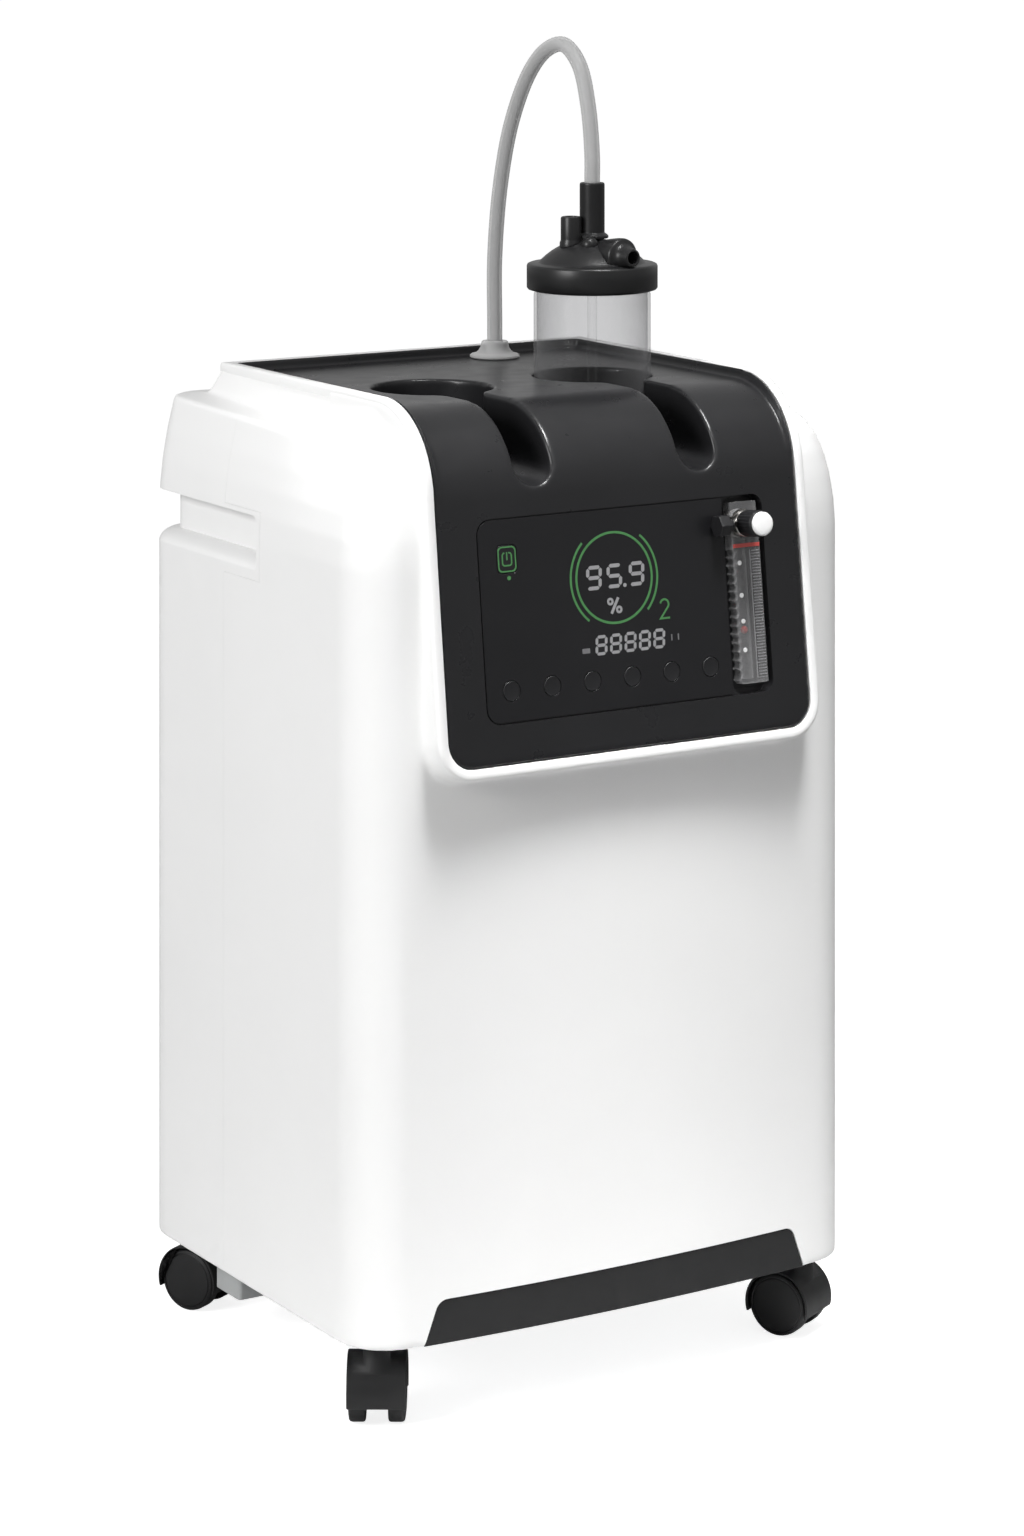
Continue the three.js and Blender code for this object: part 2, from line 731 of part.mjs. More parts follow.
// The hose leaves the boot upright, loops over and drops into the inlet stem. `across` runs
// from 0 at the boot to 1 at the stem.
function hosePath() {
  const apex = { across: 0.7, z: 836.5 };
  const at = (across, z) =>
    new THREE.Vector3(
      THREE.MathUtils.lerp(BOOT.x, WELL.x, across),
      THREE.MathUtils.lerp(BOOT.y, WELL.y, across),
      z,
    );
  return new THREE.CatmullRomCurve3([
    at(0, FASCIA.floor + 6),
    at(0, 645),
    at(0, 690),
    at(0.06, 740),
    at(0.18, 784),
    at(0.38, 818),
    at(0.56, 833),
    at(apex.across, apex.z),
    at(0.84, 824),
    at(0.95, 797),
    at(1, 766),
    at(1, 750),
    at(1, 738.6),
  ]);
}

function oxygenHose() {
  const ring = new THREE.Shape().absarc(0, 0, HOSE.radius, 0, 2 * Math.PI, false);
  ring.holes.push(new THREE.Path().absarc(0, 0, HOSE.bore, 0, 2 * Math.PI, true));
  return new THREE.ExtrudeGeometry(ring, {
    steps: 26,
    curveSegments: 3,
    bevelEnabled: false,
    extrudePath: hosePath(),
  });
}

// The flanged rubber boot where the hose leaves the tray.
function hoseBoot() {
  const base = FASCIA.floor + GAP;
  const profile = [
    [HOSE.radius + 0.6, base], [16.5, base], [17, base + 1.5], [12, base + 3.5], [9.5, base + 7],
    [9, base + 11.5], [HOSE.radius + 0.6, base + 11.5], [HOSE.radius + 0.6, base],
  ];
  return turned(profile, 16).translate(BOOT.x, BOOT.y, 0);
}

// ---------------------------------------------------------------- casters

// Each caster trails away from its heading; the closed side of its hood faces the heading.
const casterPlaces = [
  { name: "front_left", x: -CASTER.frontX, y: CASTER.frontY, heading: toRadians(-122) },
  { name: "front_right", x: CASTER.frontX, y: CASTER.frontY, heading: toRadians(-62) },
  { name: "rear_left", x: -CASTER.rearX, y: CASTER.rearY, heading: toRadians(-62) },
  { name: "rear_right", x: CASTER.rearX, y: CASTER.rearY, heading: toRadians(-100) },
];

// In the caster's own frame its heading is +Y and its axle runs along X. The hood is an
// arched cover over both wheels, with a web between them that carries the axle.
function casterHood() {
  const { wheel, trail, halfWidth, top, stem } = CASTER;
  const outer = wheel + 2.6;
  const inner = wheel + 0.9;
  const from = toRadians(-16);
  const to = toRadians(198);
  const cover = new THREE.Shape();
  cover.absarc(0, 0, outer, from, to, false);
  cover.absarc(0, 0, inner, to, from, true);
  const web = new THREE.Shape();
  web.absarc(0, 0, inner + 0.6, from, to, false);
  web.absarc(0, 0, 6, to, from + 2 * Math.PI, false);
  const onAxle = (geometry) => solid(geometry.translate(0, -trail, wheel));
  const axle = onAxle(rod(3, 4 - halfWidth, halfWidth - 4, 8).rotateY(Math.PI / 2));
  const boss = solid(rod(8.5, wheel + 10, top, 12));
  const wheelSpaces = [-1, 1].map((side) =>
    onAxle(rod(inner - 0.05, -6.5, 6.5, 16).rotateY(Math.PI / 2).translate(side * 13, 0, 0)),
  );
  const body = join(
    onAxle(sideways(cover, 0.8 - halfWidth, halfWidth - 0.8, 8)),
    onAxle(sideways(web, -6.2, 6.2, 6)),
    boss,
  );
  const clear = (stem + GAP) / Math.cos(Math.PI / 8); // its flats clear the stem's corners
  const stemHole = solid(rod(clear, wheel + 17, top + 1, 8));
  return join(cut(body, ...wheelSpaces, stemHole), axle);
}

// A twin caster's wheel: a slightly domed outer face and a blind hole for the axle.
function casterWheel(side) {
  const { wheel, trail, halfWidth } = CASTER;
  const face = halfWidth - 0.6;
  const profile = [
    [3.3, 7], [wheel - 1.2, 7], [wheel, 8.4], [wheel, face - 3],
    [wheel - 1.6, face - 1], [0, face], [0, halfWidth - 3.6], [3.3, halfWidth - 3.6], [3.3, 7],
  ];
  const disc = turned(profile, 18).rotateY(Math.PI / 2);
  if (side < 0) disc.rotateZ(Math.PI);
  return disc.translate(0, -trail, wheel);
}

const casterStem = () => rod(CASTER.stem, 38, 74, 8);

function caster({ name, x, y, heading }) {
  const group = new THREE.Group();
  group.position.set(x, y, 0);
  group.rotation.z = heading - Math.PI / 2;
  group.add(
    piece(`caster_hood_${name}`, casterHood(), SATIN),
    piece(`caster_wheel_a_${name}`, casterWheel(-1), RUBBER),
    piece(`caster_wheel_b_${name}`, casterWheel(1), RUBBER),
    piece(`caster_stem_${name}`, casterStem(), STEEL),
  );
  return group;
}

// ---------------------------------------------------------------- rear and underside

// The slatted door over the air intake.
function filterDoor() {
  const { halfWidth, low, high } = FILTER;
  const gap = 0.4;
  const shape = rectangle(gap - halfWidth, low + gap, halfWidth - gap, high - gap, 8 - gap);
  const door = solid(backward(shape, BODY.rear - 3.4, BODY.rear - gap));
  const slats = [];
  for (let z = low + 20; z < high - 12; z += 12) {
    slats.push(solid(block(-halfWidth + 14, halfWidth - 14, 140, 160, z, z + 5)));
  }
  return cut(door, ...slats);
}

function airFilter() {
  const { halfWidth, low, high } = FILTER;
  const back = BODY.rear - 4.5;
  return block(4 - halfWidth, halfWidth - 4, back - 10.5, back, low + 5, high - 5);
}

// The outlet box under the base, open at the top to the casing and at the right to the room.
function exhaustDuct() {
  const { left, right, front, back, low, wall } = EXHAUST;
  const top = BODY.floor - GAP;
  const body = solid(upward(rectangle(left, front, right, back, wall), low, top));
  const channel = solid(
    block(left + wall, right - wall, front + wall, back - wall, low + wall, top + 5),
  );
  const mouth = solid(block(right - 10, right + 10, front + 5, back - 5, low + 5, top - 5));
  return cut(body, channel, mouth);
}

function powerInlet() {
  const { x, z, halfWidth: w, halfHeight: h } = INLET;
  const face = BODY.rear - 1;
  const body = solid(block(x - w + GAP, x + w - GAP, face - 25, face, z - h + GAP, z + h - GAP));
  const socket = solid(backward(rectangle(x - 13, z - 9, x + 13, z + 9, 3), face - 15, face + 7));
  const pins = [-7, 0, 7].map((dx) =>
    solid(block(x + dx - 1, x + dx + 1, face - 16, face - 3, z - 3, z + 3)),
  );
  return join(cut(body, socket), ...pins);
}

function breakerButton() {
  return rod(BREAKER.radius - 1, 0, 17, 18)
    .rotateX(-Math.PI / 2)
    .translate(BREAKER.x, 142, BREAKER.z);
}

// ---------------------------------------------------------------- works inside the casing

const COMPRESSOR = {
  x: 30,
  y: -10,
  z: 150, // the height of the shaft; everything below is measured from it
  motor: 52, // radius
  cylinder: 84, // how far along X each cylinder stands
  crankHalf: 23,
  bore: 30,
  headTop: 100,
  foot: -62,
};

// A two-headed piston compressor: the motor lies along X between its two cylinders.
function compressorBody() {
  const { motor, cylinder, crankHalf, bore: cylinderRadius, headTop, foot } = COMPRESSOR;
  const shell = rod(motor, -62, 62, 28).rotateY(Math.PI / 2);
  const heads = [-1, 1].map((side) => {
    const x = side * cylinder;
    return join(
      solid(block(x - crankHalf, x + crankHalf, -40, 40, -44, 46)),
      solid(rod(cylinderRadius, 40, headTop - 14, 20).translate(x, 0, 0)),
      solid(block(x - 32, x + 32, -32, 32, headTop - 16, headTop)),
    );
  });
  const feet = solid(block(-100, 100, -50, 50, foot, -44));
  const bore = solid(rod(6, 100, 120, 14).rotateY(Math.PI / 2));
  return cut(join(solid(shell), ...heads, feet), bore);
}

// The motor shaft's free end, with its cooling fan.
function compressorShaft() {
  const blades = [];
  for (let i = 0; i < 6; i += 1) {
    blades.push(
      solid(block(111, 121, -2, 2, 8, 34).rotateX((i * Math.PI) / 3)),
    );
  }
  const shaft = solid(rod(4.5, 101, 124, 14).rotateY(Math.PI / 2));
  const hub = solid(rod(11, 110, 122, 18).rotateY(Math.PI / 2));
  return join(shaft, hub, ...blades);
}

function compressor() {
  const group = new THREE.Group();
  group.position.set(COMPRESSOR.x, COMPRESSOR.y, COMPRESSOR.z);
  group.add(
    piece("compressor_body", compressorBody(), ALUMINIUM),
    piece("compressor_shaft", compressorShaft(), STEEL),
  );
  return group;
}

const SHELF = { z: 279, thick: 4 };
const SHELF_TOP = SHELF.z + SHELF.thick;
const BED = { radius: 33, capRadius: 36, low: SHELF_TOP + 1, high: 498, cap: 8 };

// A zeolite column with a thicker cap at each end.
function sieveBed(x, y) {
  const { radius, capRadius, low, high, cap } = BED;
  const profile = [
    [0, low], [capRadius, low], [capRadius, low + cap], [radius, low + cap],
    [radius, high - cap], [capRadius, high - cap], [capRadius, high], [0, high],
  ];
  return turned(profile, 24).translate(x, y, 0);
}

const FAN = { x: -30, y: 93, z: SHELF_TOP + GAP, radius: 52, half: 56, depth: 25, blades: 7 };

// The square fan housing, with a spider of arms under the rotor.
function fanFrame() {
  const { x, y, z, radius, half, depth } = FAN;
  const arm = 4;
  const frame = solid(block(x - half, x + half, y - half, y + half, z, z + depth));
  const bore = solid(rod(radius + 1.5, z - 5, z + depth + 5, 28).translate(x, y, 0));
  const hub = solid(rod(17, z, z + arm, 16).translate(x, y, 0));
  const arms = solid(block(x - half, x + half, y - 3, y + 3, z, z + arm));
  const axle = solid(rod(2.5, z + 2, z + depth - 5, 10).translate(x, y, 0));
  return join(cut(frame, bore), hub, arms, axle);
}

function fanRotor() {
  const { x, y, z, radius, depth, blades } = FAN;
  const middle = z + 14;
  const bore = solid(rod(3, z, z + depth + 5, 16));
  const hub = solid(rod(18, z + 5, z + depth - 2, 16));
  const vanes = [];
  for (let i = 0; i < blades; i += 1) {
    const vane = block(16, radius - 1, -1.2, 1.2, -7, 7)
      .rotateX(toRadians(38))
      .translate(0, 0, middle)
      .rotateZ((i * 2 * Math.PI) / blades);
    vanes.push(solid(vane));
  }
  return cut(join(hub, ...vanes), bore).translate([x, y, 0]);
}

// A folded shelf between the compressor's room and the sieve beds.
function chassisShelf() {
  const half = 172;
  const front = -128;
  const flangeDepth = 17;
  const shelf = solid(block(-half, half, front, 146, SHELF.z, SHELF_TOP));
  const flange = solid(block(-half, half, front, front + 3, SHELF.z - flangeDepth, SHELF_TOP));
  const opening = solid(rod(FAN.radius, 270, 290, 28).translate(FAN.x, FAN.y, 0));
  const inside = solid(upward(plan(WALL + 2), 250, 290, 4));
  return cut(join(shelf, flange).intersect(inside), opening);
}

// The valve manifold that lies across both sieve beds, with its four solenoid coils.
function valveBlock() {
  const x = -130;
  const low = BED.high + 1;
  const base = solid(block(x - 32, x + 32, -112, 20, low, low + 22));
  const coils = [-88, -58, -28, 2].map((y) =>
    solid(rod(11, low + 21, low + 37, 14).translate(x, y, 0)),
  );
  return join(base, ...coils);
}

const TANK = { x: 128, y: -70, radius: 33 };

function productTank() {
  const { x, y, radius } = TANK;
  const low = BED.low;
  const profile = [
    [0, low], [radius - 3, low], [radius, low + 6], [radius, 480], [radius - 11, 494], [0, 494],
  ];
  return turned(profile, 24).translate(x, y, 0);
}

// The silencer can on the compressor's intake, with its spout on top.
function intakeSilencer() {
  const top = 400;
  const can = solid(rod(26, BED.low, top, 20));
  const spout = solid(rod(9, top - 1, top + 30, 14));
  return join(can, spout).translate([TANK.x, TANK.y + 80, 0]);
}

function powerModule() {
  return block(-150, -96, -110, -40, BODY.floor + 5, 150);
}

// ---------------------------------------------------------------- assembly

panel.add(
  piece("display_panel", displayPanel(), BLACK),
  piece("power_key", powerKey(), BLACK),
  piece("control_board", controlBoard(), CIRCUIT),
  piece("flowmeter_tube", flowmeterTube(), CLEAR),
  piece("flow_float", flowFloat(), RED),
  piece("flow_valve_body", flowValveBody(), CLEAR),
  piece("flow_knob", flowKnob(), BLACK),
  piece("flow_knob_cap", flowKnobCap(), WHITE),
  piece("flow_union_nut", flowUnion(), BLACK),
);
for (let i = 0; i < KEY.count; i += 1) {
  panel.add(piece(`key_${i + 1}`, keyCap(i), BLACK));
}

const concentrator = new THREE.Group();
concentrator.add(
  piece("front_shell", frontShell(), WHITE),
  piece("rear_shell", rearShell(), WHITE),
  piece("kick_plate", kickPlate(), SATIN),
  piece("base_pan", basePan(), STEEL),
  piece("top_fascia", topFascia(), BLACK),
  panel,
  piece("humidifier_bottle", humidifierBottle(), CLEAR),
  piece("humidifier_lid", humidifierLid(), BLACK),
  piece("humidifier_inlet", humidifierInlet(), BLACK),
  piece("humidifier_diffuser", humidifierDiffuser(), GREY),
  piece("humidifier_relief_valve", reliefValve(), BLACK),
  piece("humidifier_outlet", humidifierOutlet(), BLACK),
  piece("oxygen_hose", oxygenHose(), SILICONE),
  piece("hose_boot", hoseBoot(), SILICONE),
  ...casterPlaces.map(caster),
  piece("filter_door", filterDoor(), WHITE),
  piece("air_filter", airFilter(), FOAM),
  piece("exhaust_duct", exhaustDuct(), GREY),
  piece("power_inlet", powerInlet(), BLACK),
  piece("breaker_button", breakerButton(), BLACK),
  compressor(),
  piece("sieve_bed_front", sieveBed(-130, -70), ALUMINIUM),
  piece("sieve_bed_rear", sieveBed(-130, 10), ALUMINIUM),
  piece("valve_block", valveBlock(), ALUMINIUM),
  piece("product_tank", productTank(), STEEL),
  piece("intake_silencer", intakeSilencer(), BLACK),
  piece("cooling_fan_frame", fanFrame(), BLACK),
  piece("cooling_fan_rotor", fanRotor(), BLACK),
  piece("chassis_shelf", chassisShelf(), STEEL),
  piece("power_module", powerModule(), GREY),
);

concentrator.position.y = FOOTPRINT_SHIFT;

export default concentrator;
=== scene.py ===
"""Looks of the oxygen concentrator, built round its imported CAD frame.

Shapes are written in millimetres in the frame's own axes (+X right, -Y front, +Z up) and
turned into metres when a mesh is made. The moulded pieces are built as closed solids,
joined and cut, then softened so that every edge gets the small radius of a moulding.
"""
import json
import math

import bmesh
import bpy
from mathutils import Matrix, Vector


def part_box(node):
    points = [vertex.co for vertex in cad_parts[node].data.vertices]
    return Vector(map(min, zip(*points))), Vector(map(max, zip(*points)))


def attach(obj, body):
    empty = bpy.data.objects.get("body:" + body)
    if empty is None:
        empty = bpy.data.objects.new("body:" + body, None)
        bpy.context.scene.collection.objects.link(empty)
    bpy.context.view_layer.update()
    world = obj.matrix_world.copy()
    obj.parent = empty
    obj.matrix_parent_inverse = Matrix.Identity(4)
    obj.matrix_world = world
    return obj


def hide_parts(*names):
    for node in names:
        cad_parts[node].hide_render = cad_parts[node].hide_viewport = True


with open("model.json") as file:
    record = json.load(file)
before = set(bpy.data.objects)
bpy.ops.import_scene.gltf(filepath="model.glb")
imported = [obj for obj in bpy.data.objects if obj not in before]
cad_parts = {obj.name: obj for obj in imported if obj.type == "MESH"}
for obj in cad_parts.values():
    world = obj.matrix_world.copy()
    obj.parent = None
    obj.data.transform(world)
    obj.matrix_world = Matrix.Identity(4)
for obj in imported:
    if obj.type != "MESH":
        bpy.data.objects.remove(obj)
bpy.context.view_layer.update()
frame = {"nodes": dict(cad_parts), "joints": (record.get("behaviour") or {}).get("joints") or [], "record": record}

MM = 0.001


# Shapes are drawn about the middle of the casing, whose rear stands at REAR; the frame has
# its origin under the middle of the whole footprint.
REAR = 154.0
SHIFT = Vector((0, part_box("rear_shell")[1].y / MM - REAR, 0))


def cad_box(node):
    """The lowest and highest corners of a CAD node, in millimetres, as drawn here."""
    low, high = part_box(node)
    return low / MM - SHIFT, high / MM - SHIFT


# ---------------------------------------------------------------- sizes, in millimetres

SHELL_LOW = cad_box("front_shell")[0]
REAR_HIGH = cad_box("rear_shell")[1]
FASCIA_LOW, FASCIA_HIGH = cad_box("top_fascia")
BOTTLE_LOW, BOTTLE_HIGH = cad_box("humidifier_bottle")
LID_LOW, LID_HIGH = cad_box("humidifier_lid")

HALF = REAR_HIGH.x  # half the casing's width
FRONT = -154.0  # the middle of the crowned front face, below the hood
FLOOR = SHELL_LOW.z  # lower edge of the casing
CORNER = 34.0  # radius of the upright corners
SWEEP = math.radians(5)  # how far the crowned front turns before each corner
RIM = 628.0  # top of the tray rim
TRAY = 621.5  # floor of the tray
TRAY_BACK = 114.0  # rear end of the tray
FALL = 0.028  # the ledge falls this much per millimetre towards the front
SEAM = 36.0  # where the front and rear halves of the casing meet
FAR = 300.0  # well beyond the casing, for cutters

PANEL_HALF = FASCIA_HIGH.x  # the fascia's half-width
PANEL_LOW = FASCIA_LOW.z
PANEL_FRONT = -167.7  # front of the fascia at its lower edge
TILT = math.atan(0.119)  # how far the fascia leans back
BEND = 60.0  # radius of the fascia's bend
PANEL_CORNER = 17.0
BEZEL = 7.0  # width of the white rim round the fascia

WELL = Vector(((BOTTLE_LOW.x + BOTTLE_HIGH.x) / 2, (BOTTLE_LOW.y + BOTTLE_HIGH.y) / 2, 541.0))
WELL_RADIUS = 39.6
SLOT_HALF = 13.8  # half the width of the slot that runs forward from a well
SLOT_END = 574.0  # the slot's lowest point on the fascia
WELL_CORNER = 11.0  # rounds the corners between a well and its slot
TRAY_WALL = 2.6  # also the wall of a well's liner

BEND_ANGLE = math.pi / 2 - TILT
SHEET_STRAIGHT = (RIM - PANEL_LOW) / math.cos(TILT) - BEND * math.tan(BEND_ANGLE / 2)
BEND_END = PANEL_FRONT + SHEET_STRAIGHT * math.sin(TILT) + BEND * math.cos(TILT)
SHEET_LENGTH = SHEET_STRAIGHT + BEND * BEND_ANGLE + TRAY_BACK - BEND_END

# The screen's recess, measured up the panel; the flowmeter stands in it beyond SCREEN_END.
SCREEN_HALF = 107.0
SCREEN_LOW = 24.5
SCREEN_HIGH = 150.0
SCREEN_CORNER = 10.0
SCREEN_END = 77.0
UP = Vector((0, math.sin(TILT), math.cos(TILT)))
OUT = Vector((0, -math.cos(TILT), math.sin(TILT)))
PANEL = Matrix(
    (
        (1, UP.x, OUT.x, 0),
        (0, UP.y, OUT.y, PANEL_FRONT),
        (0, UP.z, OUT.z, PANEL_LOW),
        (0, 0, 0, 1),
    )
)

# Places for outlines that are drawn in Y and Z, or in X and Z, and pulled sideways or forward.
SIDEWAYS = Matrix(((0, 0, 1, 0), (1, 0, 0, 0), (0, 1, 0, 0), (0, 0, 0, 1)))
BACKWARD = Matrix(((1, 0, 0, 0), (0, 0, -1, 0), (0, 1, 0, 0), (0, 0, 0, 1)))


# ---------------------------------------------------------------- mesh tools


def smoothstep(low, high, value):
    t = min(1.0, max(0.0, (value - low) / (high - low)))
    return t * t * (3 - 2 * t)


def lerp(a, b, t):
    return a + (b - a) * t


def inner_points(start, end, steps):
    """The points that divide a straight line into equal steps, without its ends."""
    return [tuple(lerp(a, b, i / steps) for a, b in zip(start, end)) for i in range(1, steps)]


def link(name, mesh):
    piece = bpy.data.objects.new(name, mesh)
    bpy.context.scene.collection.objects.link(piece)
    return piece


def copied(piece, name):
    return link(name, piece.data.copy())


def cleaned(mesh, distance=1e-7):
    """Merges the points of a mesh that lie together and turns its faces outwards."""
    shape = bmesh.new()
    shape.from_mesh(mesh)
    bmesh.ops.remove_doubles(shape, verts=shape.verts, dist=distance)
    bmesh.ops.recalc_face_normals(shape, faces=shape.faces)
    shape.to_mesh(mesh)
    shape.free()
    return mesh


def mesh_piece(name, points, faces, place=Matrix.Identity(4)):
    """A mesh from points in millimetres, with its faces turned outwards."""
    mesh = bpy.data.meshes.new(name)
    mesh.from_pydata([(place @ Vector(p) + SHIFT) * MM for p in points], [], faces)
    return link(name, cleaned(mesh))


def baked(piece):
    """Applies every modifier of a piece to its mesh."""
    view = bpy.context.evaluated_depsgraph_get()
    mesh = bpy.data.meshes.new_from_object(piece.evaluated_get(view))
    old = piece.data
    piece.modifiers.clear()
    piece.data = mesh
    if old.users == 0 and isinstance(old, bpy.types.Mesh):
        bpy.data.meshes.remove(old)
    return piece


def combine(piece, other, operation):
    """Joins, cuts or intersects a solid with another one, which is used up."""
    step = piece.modifiers.new(operation, "BOOLEAN")
    step.operation = operation
    step.object = other
    step.solver = "MANIFOLD"
    baked(piece)
    bpy.data.objects.remove(other)
    return piece


def cut(piece, *tools):
    for tool in tools:
        combine(piece, tool, "DIFFERENCE")
    return piece


def join(piece, *others):
    for other in others:
        combine(piece, other, "UNION")
    return piece


def crisp(piece, angle=32):
    """Smooth shading, with an edge kept sharp where it turns by more than the angle."""
    piece.data.shade_smooth()
    piece.data.set_sharp_from_angle(angle=math.radians(angle))
    return piece


def flattened(piece, angle):
    """Crisp shading in which the flat faces stay flat beside their rounded edges."""
    crisp(piece, angle)
    step = piece.modifiers.new("flat", "WEIGHTED_NORMAL")
    step.weight = 100
    step.keep_sharp = True
    return baked(piece)


def rounded(piece, width, segments=3, angle=32):
    """Rounds the sharp edges of a piece and shades the rest smooth."""
    step = piece.modifiers.new("round", "BEVEL")
    step.width = width * MM
    step.segments = segments
    step.limit_method = "ANGLE"
    step.angle_limit = math.radians(angle)
    step.use_clamp_overlap = True
    baked(piece)
    return flattened(piece, 40)


def softened(piece, voxel, passes):
    """Rebuilds a solid on a fine grid and smooths it, so every edge gets a small radius."""
    grid = piece.modifiers.new("grid", "REMESH")
    grid.mode = "VOXEL"
    grid.voxel_size = voxel * 1 * MM
    soft = piece.modifiers.new("soft", "SMOOTH")
    soft.factor = 0.5
    soft.iterations = passes // 1
    baked(piece)
    piece.data.shade_smooth()
    return piece


def strips(count, levels, wrap=False):
    """Faces between neighbouring rings of `count` points each; with `wrap`, the last ring
    joins the first."""
    pairs = [(level, level + 1) for level in range(levels - 1)]
    if wrap:
        pairs.append((levels - 1, 0))
    faces = []
    for low, high in pairs:
        for i in range(count):
            j = (i + 1) % count
            faces.append((low * count + i, low * count + j, high * count + j, high * count + i))
    return faces


def loft(name, rings, place=Matrix.Identity(4), closed=True):
    """A solid through a stack of rings with equal counts, capped at both ends, or a
    ring-shaped solid when the last ring joins the first."""
    count = len(rings[0])
    faces = strips(count, len(rings), not closed)
    if closed:
        faces.append(tuple(range(count - 1, -1, -1)))
        faces.append(tuple(range((len(rings) - 1) * count, len(rings) * count)))
    return mesh_piece(name, [p for ring in rings for p in ring], faces, place)


def turned(name, profile, place=Matrix.Identity(4), segments=64):
    """A turned piece about its own Z from a profile of (radius, height), axis to axis or
    closed on itself."""
    points = []
    for radius, height in profile:
        steps = (2 * math.pi * i / segments for i in range(segments))
        points += [(radius * math.cos(a), radius * math.sin(a), height) for a in steps]
    on_axis = profile[0][0] == 0 and profile[-1][0] == 0
    return mesh_piece(name, points, strips(segments, len(profile), not on_axis), place)


def drum(radius, low, high):
    """The profile of a plain round solid, for `turned`."""
    return [(0, low), (radius, low), (radius, high), (0, high)]


def at(x=0.0, y=0.0, z=0.0):
    return Matrix.Translation((x, y, z))


def turn(degrees, axis):
    return Matrix.Rotation(math.radians(degrees), 4, axis)


def arc(x, y, radius, start, end, steps=8):
    """Points on an arc, in degrees."""
    angles = (math.radians(lerp(start, end, i / steps)) for i in range(steps + 1))
    return [(x + radius * math.cos(a), y + radius * math.sin(a)) for a in angles]


def rectangle(x0, y0, x1, y1, r, steps=8):
    """A rounded rectangle, as points running counter-clockwise."""
    return (
        arc(x1 - r, y0 + r, r, -90, 0, steps)
        + arc(x1 - r, y1 - r, r, 0, 90, steps)
        + arc(x0 + r, y1 - r, r, 90, 180, steps)
        + arc(x0 + r, y0 + r, r, 180, 270, steps)
    )


def prism(name, outline, low, high, place=Matrix.Identity(4)):
    """An outline drawn in its own X and Y, pulled from one height to another."""
    return loft(name, [[(x, y, z) for x, y in outline] for z in (low, high)], place)


def plate(name, outlines, low, high, edge=0.0, place=Matrix.Identity(4)):
    """A flat plate between two heights. The first outline is its edge and the others are
    its holes; every edge is rounded by `edge`."""
    curve = bpy.data.curves.new(name, "CURVE")
    curve.dimensions = "2D"
    curve.fill_mode = "BOTH"
    curve.extrude = ((high - low) / 2 - edge) * MM
    curve.bevel_depth = edge * MM
    curve.bevel_resolution = 2
    curve.offset = -edge * MM
    for outline in outlines:
        line = curve.splines.new("POLY")
        line.points.add(len(outline) - 1)
        for point, (x, y) in zip(line.points, outline):
            point.co = (x * MM, y * MM, 0, 1)
        line.use_cyclic_u = True
    view = bpy.context.evaluated_depsgraph_get()
    holder = link(name + "_outline", curve)
    view.update()
    mesh = bpy.data.meshes.new_from_object(holder.evaluated_get(view))
    bpy.data.objects.remove(holder)
    bpy.data.curves.remove(curve)
    metres = place.copy()
    metres.translation = (place.translation + SHIFT) * MM
    mesh.transform(metres @ Matrix.Translation((0, 0, (low + high) / 2 * MM)))
    mesh.name = name
    return flattened(link(name, cleaned(mesh, 2e-6)), 40)


def block(name, x0, x1, y0, y1, z0, z1, place=Matrix.Identity(4)):
    """A plain box, used only to cut or join other solids."""
    outline = [(x0, y0), (x1, y0), (x1, y1), (x0, y1)]
    return prism(name, outline, z0, z1, place)


def dress(piece, body, material, *nodes):
    """Gives a piece its material, its body and the CAD nodes that it stands for."""
    piece.data.materials.clear()
    piece.data.materials.append(material)
    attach(piece, body)
    if nodes:
        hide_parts(*nodes)
    return piece


# ---------------------------------------------------------------- materials


MATERIALS = {}


def node_tree(name):
    material = bpy.data.materials.new(name)
    MATERIALS[name] = material
    material.use_nodes = True
    tree = material.node_tree
    return material, tree, tree.nodes["Principled BSDF"]


def feed(tree, node, **inputs):
    """Gives a node's inputs their values, or links them to other nodes' outputs."""
    for name, value in inputs.items():
        socket = node.inputs[name.replace("_", " ")]
        if isinstance(value, bpy.types.NodeSocket):
            tree.links.new(value, socket)
        else:
            socket.default_value = value


def added(tree, kind, **inputs):
    node = tree.nodes.new("ShaderNode" + kind)
    feed(tree, node, **inputs)
    return node


def noise(tree, scale, detail=3.0, roughness=0.55):
    place = added(tree, "TexCoord").outputs["Object"]
    texture = added(tree, "TexNoise", Scale=scale, Detail=detail, Roughness=roughness, Vector=place)
    return texture.outputs["Fac"]


def mapped(tree, value, low, high, from_low=0.3, from_high=0.7):
    """A value stretched from one range to another. Noise runs from about 0.3 to 0.7."""
    step = added(tree, "MapRange", Value=value, From_Min=from_low, From_Max=from_high)
    feed(tree, step, To_Min=low, To_Max=high)
    return step.outputs["Result"]


def mixed(tree, factor, first, second):
    step = tree.nodes.new("ShaderNodeMix")
    step.data_type = "RGBA"
    tree.links.new(factor, step.inputs["Factor"])
    for socket, colour in (("A", first), ("B", second)):
        target = next(i for i in step.inputs if i.name == socket and i.type == "RGBA")
        if isinstance(colour, tuple):
            target.default_value = (*colour, 1)
        else:
            tree.links.new(colour, target)
    return next(o for o in step.outputs if o.type == "RGBA")


def edges(tree):
    """How convex the surface is: 0 on flats, rising to 1 on worn edges."""
    pointiness = added(tree, "NewGeometry").outputs["Pointiness"]
    return mapped(tree, pointiness, 0.0, 1.0, 0.52, 0.62)


